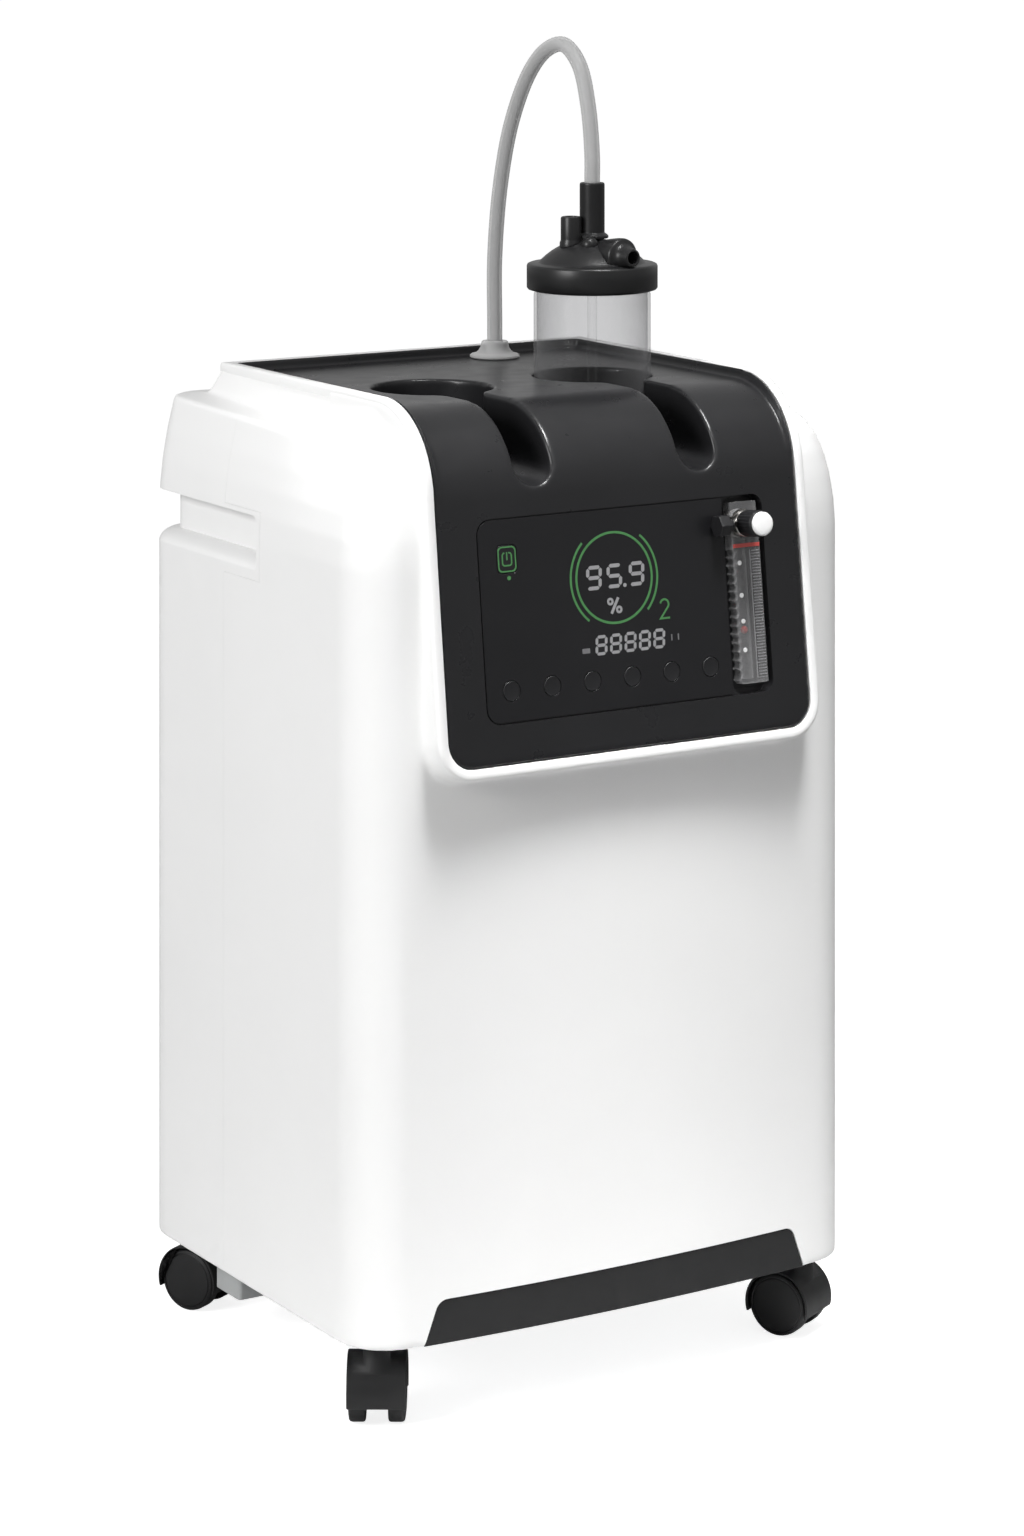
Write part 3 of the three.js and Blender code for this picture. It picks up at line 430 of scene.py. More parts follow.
def bumped(tree, shader, height, strength, distance):
    relief = added(tree, "Bump", Strength=strength, Distance=distance, Height=height)
    feed(tree, shader, Normal=relief.outputs["Normal"])


def surface(name, colour, roughness, grain=900.0, bump=0.05, drift=0.04, wear=0.25, **extra):
    """A moulded or metal surface: slow colour drift, lighter worn edges, uneven roughness
    and a fine grain in the bump. `extra` sets other inputs of the shader."""
    material, tree, shader = node_tree(name)
    darker = tuple(c * (1 - drift) for c in colour)
    lighter = tuple(min(1.0, c * (1 + drift)) for c in colour)
    worn = tuple(lerp(c, 1.0, 0.12 + wear * 0.25) for c in colour)
    cloudy = mixed(tree, mapped(tree, noise(tree, 9.0), 0.0, 1.0), darker, lighter)
    share = mapped(tree, edges(tree), 0.0, wear, 0.0, 1.0)
    uneven = mapped(tree, noise(tree, 55.0, 5.0), roughness * 0.88, roughness * 1.12)
    feed(tree, shader, Base_Color=mixed(tree, share, cloudy, worn), Roughness=uneven, **extra)
    bumped(tree, shader, noise(tree, grain, 2.0), bump, 0.0002)
    return material


def glowing(name, colour, strength):
    """A mark that gives off light, with a slight unevenness in its light: the lit marks behind the screen, and
    also the flowmeter's painted glints, painted highlight line and faintly glowing scale print.
    """
    material, tree, shader = node_tree(name)
    dim = tuple(c * 0.85 for c in colour)
    light = mixed(tree, mapped(tree, noise(tree, 400.0), 0.0, 1.0), dim, colour)
    feed(tree, shader, Emission_Color=light, Base_Color=light, Emission_Strength=strength, Roughness=0.4)
    return material


def clear(name, colour, tint, middle, edge, roughness):
    """Thin clear plastic: light passes straight through with a slight tint, and the
    surface shows more towards its outline."""
    material, tree, shader = node_tree(name)
    faded = tuple(c * 0.94 for c in colour)
    shade = mixed(tree, mapped(tree, noise(tree, 30.0), 0.0, 1.0), colour, faded)
    uneven = mapped(tree, noise(tree, 90.0), roughness, roughness * 1.5 + 0.01)
    feed(tree, shader, Base_Color=shade, Roughness=uneven)
    bumped(tree, shader, noise(tree, 60.0), 0.05, 0.0003)
    through = added(tree, "BsdfTransparent", Color=(*tint, 1))
    facing = added(tree, "LayerWeight", Blend=0.25).outputs["Facing"]
    blend = added(tree, "MixShader", Fac=mapped(tree, facing, middle, edge, 0.0, 1.0))
    tree.links.new(through.outputs["BSDF"], blend.inputs[1])
    tree.links.new(shader.outputs["BSDF"], blend.inputs[2])
    feed(tree, tree.nodes["Material Output"], Surface=blend.outputs["Shader"])
    return material


DULL = {"Specular_IOR_Level": 0.3}
WHITE = surface("casing_white", (0.8, 0.8, 0.797), 0.45, bump=0.03, drift=0.01, wear=0.06)
FASCIA = surface("fascia_black", (0.012, 0.012, 0.013), 0.3, bump=0.03, drift=0.1, wear=0.02, **DULL)
GLASS = surface("screen_black", (0.008, 0.008, 0.009), 0.34, bump=0.01, drift=0.1, wear=0.0, **DULL)
KEYS = surface("key_black", (0.008, 0.008, 0.009), 0.5, bump=0.03, drift=0.1, wear=0.02, **DULL)
SATIN = surface("satin_black", (0.009, 0.009, 0.0095), 0.5, 700.0, 0.16, 0.12, 0.03, **DULL)
LID = surface("lid_black", (0.012, 0.012, 0.0125), 0.34, bump=0.006, drift=0.1, wear=0.02, **DULL)
TREAD = surface("caster_rubber", (0.008, 0.008, 0.0085), 0.5, 600.0, 0.2, 0.15, 0.04, **DULL)
CLEAR = clear("clear_plastic", (0.3, 0.3, 0.305), (0.885, 0.885, 0.888), 0.02, 0.45, 0.05)
TUBE = clear("tube_plastic", (0.5, 0.5, 0.5), (0.985, 0.985, 0.985), 0.01, 0.2, 0.05)
FLOWCLEAR = clear("flow_plastic", (0.62, 0.62, 0.63), (0.85, 0.85, 0.85), 0.07, 0.8, 0.12)
SILICONE = clear("silicone", (0.62, 0.62, 0.62), (0.84, 0.84, 0.84), 0.4, 0.9, 0.35)
GREY = surface("grey_plastic", (0.36, 0.37, 0.37), 0.5, bump=0.1, drift=0.05)
RED = surface("red_plastic", (0.5, 0.03, 0.02), 0.3, bump=0.02, drift=0.05)
STEEL = surface("sheet_steel", (0.5, 0.51, 0.52), 0.38, 300.0, 0.1, 0.08, 0.3, Metallic=0.9)
SHAFT = surface("shaft_steel", (0.56, 0.56, 0.57), 0.3, 300.0, 0.05, 0.05, 0.3, Metallic=1.0)
CHROME = surface("valve_metal", (0.6, 0.58, 0.55), 0.24, 300.0, 0.06, 0.1, 0.3, Metallic=1.0)
CAST = surface("cast_aluminium", (0.56, 0.57, 0.58), 0.5, 250.0, 0.25, 0.08, 0.3, Metallic=0.8)
BOARD = surface("circuit_board", (0.02, 0.12, 0.055), 0.4, 200.0, 0.3, 0.3, 0.1)
FOAM = surface("foam", (0.045, 0.05, 0.055), 0.95, 260.0, 0.9, 0.3, 0.1)
GREEN = glowing("green_mark", (0.04, 0.14, 0.045), 0.4)
DIGIT = glowing("digit_mark", (0.19, 0.19, 0.195), 0.5)
# Painted glints: white spots that glow where light catches the flowmeter's teeth.
GLINT = glowing("painted_glint", (0.5, 0.5, 0.5), 0.4)
FAINT = glowing("faint_mark", (0.12, 0.12, 0.125), 0.2)
# Printed scale ticks given a faint glow, and a painted highlight line along the flowmeter's bore.
SCALE_AND_HIGHLIGHT = glowing("scale_glow_and_highlight", (0.2, 0.2, 0.205), 0.25)


def dress_cad_nodes():
    """Materials for the CAD nodes that stay as they are, by their slot in the record."""
    for part in frame["record"]["subparts"]:
        node = frame["nodes"][part["node"]]
        node.data.materials.clear()
        node.data.materials.append(MATERIALS[part["material_slot"]])


# ---------------------------------------------------------------- casing


ACROSS_FRONT, ALONG_SIDE, ACROSS_REAR, ROUND_CORNER = 40, 24, 30, 12  # steps in a ring


def plan_ring(half, front, rear, radius, z):
    """One level ring round the casing: a crowned front, three straight sides and round
    corners."""
    end = half - radius * (1 - math.sin(SWEEP))
    crown = end * math.tan(SWEEP) / 2
    end_y = front + crown
    corner_y = end_y + radius * math.cos(SWEEP)
    sweep = math.degrees(SWEEP)
    face = (lerp(-1, 1, i / ACROSS_FRONT) for i in range(1, ACROSS_FRONT))
    ring = [(end * t, end_y + crown * (t * t - 1)) for t in face]
    ring += arc(half - radius, corner_y, radius, sweep - 90, 0, ROUND_CORNER)
    ring += inner_points((half, corner_y), (half, rear - radius), ALONG_SIDE)
    ring += arc(half - radius, rear - radius, radius, 0, 90, ROUND_CORNER)
    ring += inner_points((half - radius, rear), (radius - half, rear), ACROSS_REAR)
    ring += arc(radius - half, rear - radius, radius, 90, 180, ROUND_CORNER)
    ring += inner_points((-half, rear - radius), (-half, corner_y), ALONG_SIDE)
    ring += arc(radius - half, corner_y, radius, 180, 270 - sweep, ROUND_CORNER)
    return [(x, y, z) for x, y in ring]


def inset_ring(inset, z):
    """A ring that stays the same distance inside the casing's walls."""
    return plan_ring(HALF - inset, FRONT + inset, REAR - inset, max(CORNER - inset, 6), z)


# Each level of the upper casing: how far it stands in from the sides, from the rear and in
# from the front, with its height where the ledge runs and where the front shoulder runs.
UPPER = (
    # side, rear, front side, front, ledge height, shoulder height
    (0.0, 0.0, 0.0, 0.0, 530.0, 530.0),
    (0.6, 0.6, 1.2, 1.0, 548.0, 546.0),
    (2.4, 2.4, 4.0, 3.5, 566.0, 562.0),
    (5.3, 5.3, 8.5, 7.5, 584.0, 577.0),
    (9.2, 9.2, 15.0, 13.0, 602.0, 589.5),
    (9.9, 9.9, 20.5, 18.0, 605.4, 596.0),
    (11.6, 11.4, 25.0, 23.0, 606.8, 600.0),
    (15.0, 14.8, 29.0, 30.0, 607.0, 603.0),
    (25.0, 20.0, 33.0, 40.0, 607.0, 606.5),
    (34.8, 26.2, 37.0, 50.0, 607.0, 611.0),
    (35.8, 27.2, 39.5, 55.0, 608.8, 616.0),
    (42.6, 33.5, 43.0, 60.0, 624.0, 623.5),
    (44.2, 35.0, 44.2, 65.0, 627.3, 627.2),
    (60.0, 50.0, 60.0, 80.0, 627.3, 627.3),
)


def casing_core():
    """The casing without its hood, as one closed solid."""
    steps = 12
    start = UPPER[0][4]
    rings = [inset_ring(0, lerp(FLOOR, start, i / steps)) for i in range(steps)]
    for side, rear, front_side, front, ledge, shoulder in UPPER:
        behind = plan_ring(HALF - side, FRONT + side, REAR - rear, max(CORNER - side, 3), ledge)
        ahead_corner = max(CORNER - front_side, 5)
        ahead = plan_ring(HALF - front_side, FRONT + front, REAR - rear, ahead_corner, shoulder)
        falling = min(1.0, (ledge - start) / 60)
        ring = []
        for (x0, y0, z0), (x1, y1, z1) in zip(behind, ahead):
            share = smoothstep(-30, -100, y0)
            y = lerp(y0, y1, share)
            fall = FALL * (y - TRAY_BACK) * (1 - share) * falling
            ring.append((lerp(x0, x1, share), y, lerp(z0, z1, share) + fall))
        rings.append(ring)
    return loft("casing", rings)


def sheet_point(x, s, depth):
    """A point `depth` above the fascia's face: s runs up the slanted panel, round the bend
    and back along the top of the tray."""
    if s <= SHEET_STRAIGHT:
        return PANEL @ Vector((x, s, depth))
    angle = min((s - SHEET_STRAIGHT) / BEND, BEND_ANGLE)
    centre = PANEL @ Vector((x, SHEET_STRAIGHT, -BEND))
    outwards = Matrix.Rotation(-angle, 3, "X") @ OUT
    beyond = max(0.0, s - SHEET_STRAIGHT - BEND * BEND_ANGLE)
    return centre + outwards * (BEND + depth) + Vector((0, beyond, 0))


def sheet_ring(grow, depth, end=None):
    """A ring in the fascia's sheet, `grow` outside its edge and `depth` above its face,
    from the middle of its lower edge round to the rear. It stops short at `end`."""
    half = PANEL_HALF + grow
    r = PANEL_CORNER + grow
    top = SHEET_LENGTH + grow if end is None else end
    right = arc(half - r, r - grow, r, -90, 0, 12)
    right += [(half, lerp(r - grow, top, i / 96)) for i in range(1, 97)]
    ring = right + [(-x, s) for x, s in reversed(right)]
    return [sheet_point(x, s, depth) for x, s in ring]


def sheet_block(name, walls, end=None):
    """A solid that follows the bent sheet: its side walls are given as (grow, depth), and
    its two faces are strips from side to side."""
    rings = [sheet_ring(grow, depth, end) for grow, depth in walls]
    count = len(rings[0])
    faces = strips(count, len(rings))
    for low in (0, (len(rings) - 1) * count):
        for i in range(count // 2 - 1):
            j = count - 1 - i
            faces.append((low + i, low + i + 1, low + j - 1, low + j))
    return mesh_piece(name, [p for ring in rings for p in ring], faces)


def hood():
    """The block under the fascia that overhangs the front; its walls flare as they go in."""
    walls = ((BEZEL - 1.5, -0.9), (BEZEL - 0.3, -1.6), (BEZEL + 0.6, -4))
    walls += ((BEZEL + 1.4, -14), (BEZEL + 3, -24), (BEZEL + 5, -44))
    return sheet_block("hood", walls, SHEET_STRAIGHT + BEND * BEND_ANGLE + 60)


def grip_space():
    """The sunk hand grips at the rear corners, with a sharp upper edge and a rolled lip."""
    low, high, depth, lip = 511.0, 546.0, 14.0, 9.0
    front, inner_end = -8.0, 118.0
    core = [(-12.0, low - 16), (-0.5, low - 1.5)]
    for angle in range(15, 91, 15):
        a = math.radians(angle)
        core.append((depth * (1 - math.cos(a)), low + lip * math.sin(a)))
    core.append((depth, high + 30))
    outside = [inset_ring(-10, z) for z in (low - 12, high)]
    space = cut(loft("grip", outside), loft("grip_core", [inset_ring(a, z) for a, z in core]))
    outline = rectangle(front, low - 2, FAR, high, 6)
    ends = ((-FAR, -inner_end), (inner_end, FAR))
    sides = [prism("grip_side", outline, *pair, SIDEWAYS) for pair in ends]
    return combine(space, join(*sides), "INTERSECT")


def rear_region():
    """Everything behind the seam, which steps forward round each grip."""
    region = block("rear_region", -FAR, FAR, SEAM, FAR, 0, 700)
    detours = [
        block("detour", *ends, -12.5, SEAM + 5, 505, 549) for ends in ((-FAR, -130), (130, FAR))
    ]
    return join(region, *detours)


def below_casing():
    return block("below", -FAR, FAR, -FAR, FAR, FLOOR - 40, FLOOR)


def cavity():
    """The hollow inside the casing, stepping inwards behind the grips."""
    levels = ((5, FLOOR - 5), (5, 488), (19, 503), (19, 560), (52, 600), (54, 640))
    return loft("cavity", [inset_ring(inset, z) for inset, z in levels])


def through_wall(name, outline, y0=REAR - 30, y1=REAR + 20):
    """A cutter through the rear or front wall, from an outline drawn in X and Z."""
    return prism(name, outline, -y1, -y0, BACKWARD)


def node_outline(node, grow, radius):
    low, high = cad_box(node)
    return rectangle(low.x - grow, low.z - grow, high.x + grow, high.z + grow, radius)


def kick_outline(grow):
    """The kick plate seen from the front."""
    top, top_half, bottom_half, r = 80.0, 132.5, 142.0, 8.0
    lean = math.degrees(math.atan((bottom_half - top_half) / (top - FLOOR)))
    inner = top_half - r * math.tan(math.radians((90 - lean) / 2)) - 0.5
    side = arc(inner, top - r, r + grow, lean, 90, 8)
    right = [(bottom_half + grow, FLOOR - grow)] + side
    return right + [(-x, z) for x, z in reversed(right)]


def casing():
    body = join(casing_core(), hood())
    softened(body, 1.6, 7)
    cut(
        body,
        cavity(),
        sheet_block("fascia_space", ((0.3, -9.8), (0.3, 14))),
        *[well_space(side * WELL.x, 3.0, RIM + 20) for side in (-1, 1)],
        prism("screen_room", rectangle(-112, 14, 118, 205, 8), -38, 5, PANEL),
        grip_space(),
        through_wall("filter_hole", node_outline("filter_door", 0.5, 8)),
        through_wall("inlet_hole", node_outline("power_inlet", 0.4, 2)),
        through_wall("button_hole", arc(40, 112, 7.2, 0, 352.5, 47)),
        through_wall("kick_space", kick_outline(0.4), FRONT - 30, FRONT + 40),
        below_casing(),
    )
    body.name = "casing_front"
    rear = copied(body, "casing_rear")
    region = rear_region()
    grown = copied(region, "grown_region")
    combine(rear, region, "INTERSECT")
    gap = grown.modifiers.new("gap", "DISPLACE")
    gap.strength = 0.5 * MM
    cut(body, baked(grown))
    dress(crisp(body, 42), "casing", WHITE, "front_shell")
    dress(crisp(rear, 42), "casing", WHITE, "rear_shell")


def rim():
    """The white rim round the fascia and the tray, with a rounded outer edge."""
    section = (
        (0.35, -8), (0.35, -0.3), (0.6, -0.05), (BEZEL - 1.6, 0.0), (BEZEL - 0.7, -0.25),
        (BEZEL - 0.1, -0.8), (BEZEL + 0.2, -1.8), (BEZEL + 0.2, -6), (BEZEL - 2, -8),
    )
    rings = [sheet_ring(grow, depth) for grow, depth in section]
    piece = loft("fascia_rim", rings, closed=False)
    dress(crisp(piece, 50), "casing", WHITE)


def kick_plate():
    """A thin black plate that follows the crowned front, in the casing's lower edge."""
    skin = loft("kick_cover", [inset_ring(0.6, z) for z in (FLOOR - 5, 90)])
    piece = cut(skin, loft("inner", [inset_ring(5, z) for z in (FLOOR - 8, 95)]))
    combine(piece, through_wall("trim", kick_outline(0), FRONT - 30, FRONT + 40), "INTERSECT")
    cut(piece, below_casing())
    dress(rounded(piece, 0.8), "casing", SATIN, "kick_plate")


# ---------------------------------------------------------------- fascia


def well_outline(x, grow):
    """The opening of a bottle well seen from above: a round hole whose rounded corners
    lead into a slot that runs forward."""
    radius = WELL_RADIUS + grow
    half = SLOT_HALF + grow
    r = WELL_CORNER - grow
    back = WELL.y - math.sqrt((radius + r) ** 2 - (half + r) ** 2)
    meet = math.degrees(math.atan2(WELL.y - back, half + r))
    right = [(half, -200)] + arc(half + r, back, r, 180, 180 - meet, 6)
    round_side = arc(0, WELL.y, radius, -meet, 180 + meet, 64)
    left = [(-px, py) for px, py in reversed(right)]
    return [(x + px, py) for px, py in right + round_side[1:-1] + left]


def well_space(x, grow, top):
    """A bottle well, and the slot with a round end that runs forward from it."""
    floor = WELL.z - grow
    hole = turned("well", drum(WELL_RADIUS + grow, floor, top), at(x, WELL.y), 96)
    r = SLOT_HALF + grow
    low = SLOT_END - grow + r
    outline = arc(x, low, r, 180, 360, 24) + [(x + r, top + 60), (x - r, top + 60)]
    slot = prism("slot", outline, -WELL.y, 200, BACKWARD)
    return join(hole, slot, prism("mouth", well_outline(x, grow), low, top))


def tray_space():
    """The sunk floor of the tray. It rolls over the bend and fades out on the panel."""
    sunk = (RIM - TRAY) / math.cos(TILT)
    floor = [sheet_point(0, SHEET_STRAIGHT + BEND * BEND_ANGLE * i / 24, 0) for i in range(25)]
    drop = UP * sunk
    outline = [(p.y - drop.y, p.z - drop.z) for p in floor]
    start = Vector(outline[0]) + Vector((OUT.y, OUT.z)) * 20
    back = TRAY_BACK - TRAY_WALL
    outline = [tuple(start)] + outline + [(back, TRAY), (back, RIM + 30), (start.x, RIM + 30)]
    side = PANEL_HALF - TRAY_WALL
    return prism("tray", outline, -side, side, SIDEWAYS)


def screen_outline(inset, right, corner):
    """The screen's recess drawn smaller by `inset`, with its right edge moved to `right`."""
    return rectangle(inset - SCREEN_HALF, SCREEN_LOW + inset, right, SCREEN_HIGH - inset, corner)


def fascia():
    skin = sheet_block("fascia", ((-0.1, -9.5), (-0.1, 0)))
    for side in (-1, 1):
        liner = well_space(side * WELL.x, TRAY_WALL, 640)
        limit = join(
            sheet_block("limit", ((-1, -50), (-1, -1))),
            block("under", -130, 130, -110, TRAY_BACK - 2, WELL.z - 20, RIM - 20),
        )
        combine(liner, limit, "INTERSECT")
        join(skin, liner)
    join(skin, prism("backing", screen_outline(-4, SCREEN_HALF + 4, 13), -13, -1, PANEL))
    cut(skin, tray_space(), *[well_space(side * WELL.x, 0, 700) for side in (-1, 1)])
    softened(skin, 1.3, 14)
    flow_slot = rectangle(SCREEN_END, SCREEN_LOW, SCREEN_HALF, SCREEN_HIGH, 8)
    cut(
        skin,
        prism("screen", screen_outline(0, SCREEN_HALF, SCREEN_CORNER), -2, 20, PANEL),
        prism("behind", screen_outline(6, SCREEN_END - 6, 5), -30, 5, PANEL),
        prism("flow", flow_slot, -9.5, 20, PANEL),
    )
    dress(crisp(skin, 40), "casing", FASCIA, "top_fascia")


def screen():
    gap = 0.9
    right = SCREEN_END - gap
    left = SCREEN_CORNER - SCREEN_HALF
    corner = SCREEN_CORNER - gap
    edge = [
        (right, SCREEN_LOW + gap),
        (right, SCREEN_HIGH - gap),
        *arc(left, SCREEN_HIGH - SCREEN_CORNER, corner, 90, 180, 10),
        *arc(left, SCREEN_LOW + SCREEN_CORNER, corner, 180, 270, 10),
    ]
    holes = [arc(x, KEY_Y, KEY_RADIUS + 0.3, 0, 352.5, 47) for x in KEY_X]
    power = framed(*POWER, POWER_HALF + 0.3, 3.3)
    piece = plate("screen_glass", [edge, *holes, power], -1.7, -0.4, 0.35, PANEL)
    dress(piece, "casing", GLASS, "display_panel")


KEY_X = tuple(-88.0 + 29.6 * i for i in range(6))
KEY_Y = 44.3
KEY_RADIUS = 6.0
POWER = (-85.8, 124.5)
POWER_HALF = 7.0  # half the power key's width; it is taller by POWER_TALL at each end
POWER_TALL = 1.5


def framed(x, y, half, corner, tall=POWER_TALL):
    """A rounded rectangle about a middle point, `tall` higher at each end than it is wide."""
    return rectangle(x - half, y - half - tall, x + half, y + half + tall, corner)


def keys():
    for i, x in enumerate(KEY_X, 1):
        name = f"key_{i}"
        dish = [(0, -4.4), (KEY_RADIUS, -4.4), (KEY_RADIUS, -0.55), (KEY_RADIUS - 0.3, -0.25)]
        dish += [(KEY_RADIUS * s, -0.25 - 0.3 * (1 - s * s)) for s in (0.85, 0.6, 0.3)]
        piece = turned(name + "_cap", dish + [(0, -0.55)], PANEL @ at(x, KEY_Y), 48)
        dress(crisp(piece), name, KEYS, name)
    cap = plate("power_cap", [framed(*POWER, POWER_HALF, 3)], -4.4, -0.3, 0.4, PANEL)
    dress(cap, "power_key", KEYS, "power_key")


# ---------------------------------------------------------------- screen graphics

# The strokes that each digit lights, named as on a seven-segment display.
SEGMENTS = {"5": "afgcd", "8": "abcdefg", "9": "abcdfg"}


def digit_strokes(character, x, y, width, height, stroke):
    """The lit strokes of one seven-segment digit, as small slanted outlines."""
    half = height / 2
    slant = 0.08
    bars = {
        "a": (0, height, width, height), "g": (0, half, width, half), "d": (0, 0, width, 0),
        "f": (0, half, 0, height), "b": (width, half, width, height),
        "e": (0, 0, 0, half), "c": (width, 0, width, half),
    }
    outlines = []
    for key in SEGMENTS[character]:
        x0, y0, x1, y1 = bars[key]
        along = Vector((x1 - x0, y1 - y0)).normalized()
        aside = Vector((-along.y, along.x)) * stroke / 2
        start = Vector((x0, y0)) + along * stroke * 0.62
        end = Vector((x1, y1)) - along * stroke * 0.62
        tip = along * stroke * 0.45
        corners = (start - tip, start - aside, end - aside, end + tip, end + aside, start + aside)
        outlines.append([(x + c.x + slant * c.y, y + c.y) for c in corners])
    return outlines


def number(text, x, y, width, height, stroke, gap):
    outlines = []
    for character in text:
        if character == ".":
            outlines.append(disc(x - gap * 0.45, y, stroke * 0.55, 11))
            x += stroke * 0.6
            continue
        outlines += digit_strokes(character, x, y, width, height, stroke)
        x += width + gap
    return outlines


def band(x, y, radius, width, start, end, steps=40):
    """A stretch of a ring."""
    outer = arc(x, y, radius + width / 2, start, end, steps)
    inner = arc(x, y, radius - width / 2, end, start, steps)
    return outer + inner


def ribbon(path, width):
    """The outline of a stroke of even width along a path."""
    line = [Vector(p) for p in path]
    left, right = [], []
    for i, here in enumerate(line):
        ahead = (line[min(i + 1, len(line) - 1)] - here).normalized()
        behind = (here - line[max(i - 1, 0)]).normalized()
        along = (ahead + behind).normalized()
        reach = width / 2 / max(0.4, along.dot(ahead if ahead.length else behind))
        aside = Vector((-along.y, along.x)) * reach
        left.append(tuple(here + aside))
        right.append(tuple(here - aside))
    return left + right[::-1]


def disc(x, y, radius, steps=23):
    return arc(x, y, radius, 0, 360 - 360 / (steps + 1), steps)


def marks(name, groups, material, body="casing", height=-0.4, thick=0.12):
    """Thin lit marks that lie on the screen, as one piece. Each group is an outline, or
    [outline, hole, ...]."""
    shape = bmesh.new()
    for group in groups:
        outlines = group if isinstance(group[0], list) else [group]
        part = plate(name + "_part", outlines, height, height + thick, 0, PANEL)
        shape.from_mesh(part.data)
        bpy.data.objects.remove(part)
    mesh = bpy.data.meshes.new(name)
    shape.to_mesh(mesh)
    shape.free()
    dress(link(name, mesh), body, material)


def up_panel(z):
    """How far up the panel a height lies."""
    return (z - PANEL_LOW) / math.cos(TILT)


def graphics():
    """An oxygen reading in a ring with a small 2, a percent sign and an hour counter."""
    x, y = -8.2, up_panel(513.2)
    ring = [disc(x, y, 28.8, 119), disc(x, y, 27.3, 119)]
    sides = [band(x, y, 32.2, 1.4, 134, 231), band(x, y, 32.2, 1.4, -43, 50)]
    marks("ring_mark", [ring, *sides], GREEN)
    reading = number("95.9", -28.4, up_panel(514.2) - 6.4, 9.3, 12.8, 2.3, 5.9)
    marks("reading_mark", reading, DIGIT)
    hours = number("88888", -24.6, up_panel(472.6) - 5.1, 6.9, 10.4, 1.9, 3.9)
    marks("hours_mark", hours, DIGIT)
    x, y = 28.0, up_panel(490.4)
    two = arc(x, y + 3.0, 3.1, 165, -35, 14) + [(x - 3.4, y - 5.6), (x + 3.5, y - 5.6)]
    marks("two_mark", [ribbon(two, 1.2)], GREEN)
    x, y = -9.2, up_panel(496.0)
    percent = [ribbon([(x - 2.6, y - 4.8), (x + 3.0, y + 4.8)], 1.9)]
    percent += [[disc(x + a, y + b, r, 17) for r in (2.4, 0.9)] for a, b in ((-3, 2.7), (3.2, -2.7))]
    marks("percent_mark", percent, DIGIT)
    small = [rectangle(-35.0, up_panel(468.7), -29.4, up_panel(471.7), 0.4, 2)]
    small += [rectangle(x, up_panel(470.5), x + 0.9, up_panel(474.5), 0.3, 2) for x in (31.5, 36.5)]
    marks("small_mark", small, FAINT)
    power_mark()


def power_mark():
    """A rounded frame round a ring with a bar, and a dot below, in green."""
    x, y = POWER
    border = [framed(x, y, 6.6, 3, 1.3), framed(x, y, 5.7, 2.4, 1.3)]
    wide, tall, r, top = 1.6, 2.2, 1.7, y + 3.9
    cup = [(x - wide, top)]
    for a, b, start in ((-wide, tall, 90), (-wide, -tall, 180), (wide, -tall, 270), (wide, tall, 0)):
        cup += arc(x + a, y + b, r, start, start + 90, 5)
    cup.append((x + 1.2, top))
    bar = [(x, y + 4.4), (x, y - 0.6)]
    marks("power_mark", [border, ribbon(cup, 0.9), ribbon(bar, 0.9)], GREEN, "power_key", -0.3)
    marks("power_dot", [disc(x + 0.8, up_panel(519.6), 1.3)], GREEN)


# ---------------------------------------------------------------- flowmeter

FLOW_LEFT, FLOW_RIGHT = 82.2, 102.8
FLOW_LOW, FLOW_HIGH = 31.0, 145.6
FLOW_BORE = (89.6, 0, -3.9)
FLOW_BAND = 118.0  # height of the red band, which ends the scale
FLOW_FACE = 0.55  # where the marks lie on the flowmeter's face
VALVE = (90.8, 132.0)


def toothed_outline():
    """The flowmeter's outline, with small teeth down its left edge."""
    pitch = 5.4
    outline = arc(FLOW_RIGHT - 1.6, FLOW_LOW + 1.6, 1.6, -90, 0, 4)
    outline += [(FLOW_RIGHT, FLOW_BAND), (FLOW_RIGHT - 1.2, FLOW_HIGH)]
    outline += [(FLOW_LEFT + 0.6, FLOW_HIGH), (FLOW_LEFT + 0.6, FLOW_BAND)]
    y = FLOW_BAND - 2
    while y > FLOW_LOW + pitch:
        outline += [(FLOW_LEFT, y), (FLOW_LEFT + 1.7, y - pitch * 0.35), (FLOW_LEFT + 1.3, y - pitch * 0.7)]
        y -= pitch
    return outline + [(FLOW_LEFT, FLOW_LOW + 2), (FLOW_LEFT + 2, FLOW_LOW)]


def flow_marks():
    """The flowmeter's scale, whose printed ticks glow faintly, with a painted highlight line beside the bore, four
    painted glints on the toothed edge and the red band that ends it.
    """
    foot = FLOW_LOW + 3
    end = FLOW_RIGHT - 0.6
    count = 44
    ticks = []
    for i in range(count):
        wide = 6.2 if i % 5 else 7.4
        y = lerp(foot, FLOW_BAND - 4, i / (count - 1))
        ticks.append(rectangle(end - wide, y, end, y + 0.55, 0.1, 1))
    # A painted highlight: a thin glowing line where light catches the bore's right edge.
    edge = rectangle(94.6, foot, 95.1, FLOW_BAND - 3, 0.2, 2)
    # Painted glints: four glowing spots where light catches the teeth on the left edge.
    glints = [disc(86.4, up_panel(z), 1.5) for z in (513.9, 493.6, 477.4, 459.4)]
    strip = rectangle(FLOW_LEFT + 0.2, FLOW_BAND - 1.2, FLOW_RIGHT - 0.2, FLOW_BAND + 1.2, 0.4, 3)
    # The printed ticks are given a faint glow of their own, which is painted light.
    marks("flow_ticks", ticks, SCALE_AND_HIGHLIGHT, height=FLOW_FACE)
    marks("flow_edge_highlight", [edge], SCALE_AND_HIGHLIGHT, height=FLOW_FACE)
    marks("flow_glints", glints, GLINT, height=FLOW_FACE, thick=0.3)
    marks("flow_band", [strip], RED, height=FLOW_FACE, thick=0.3)


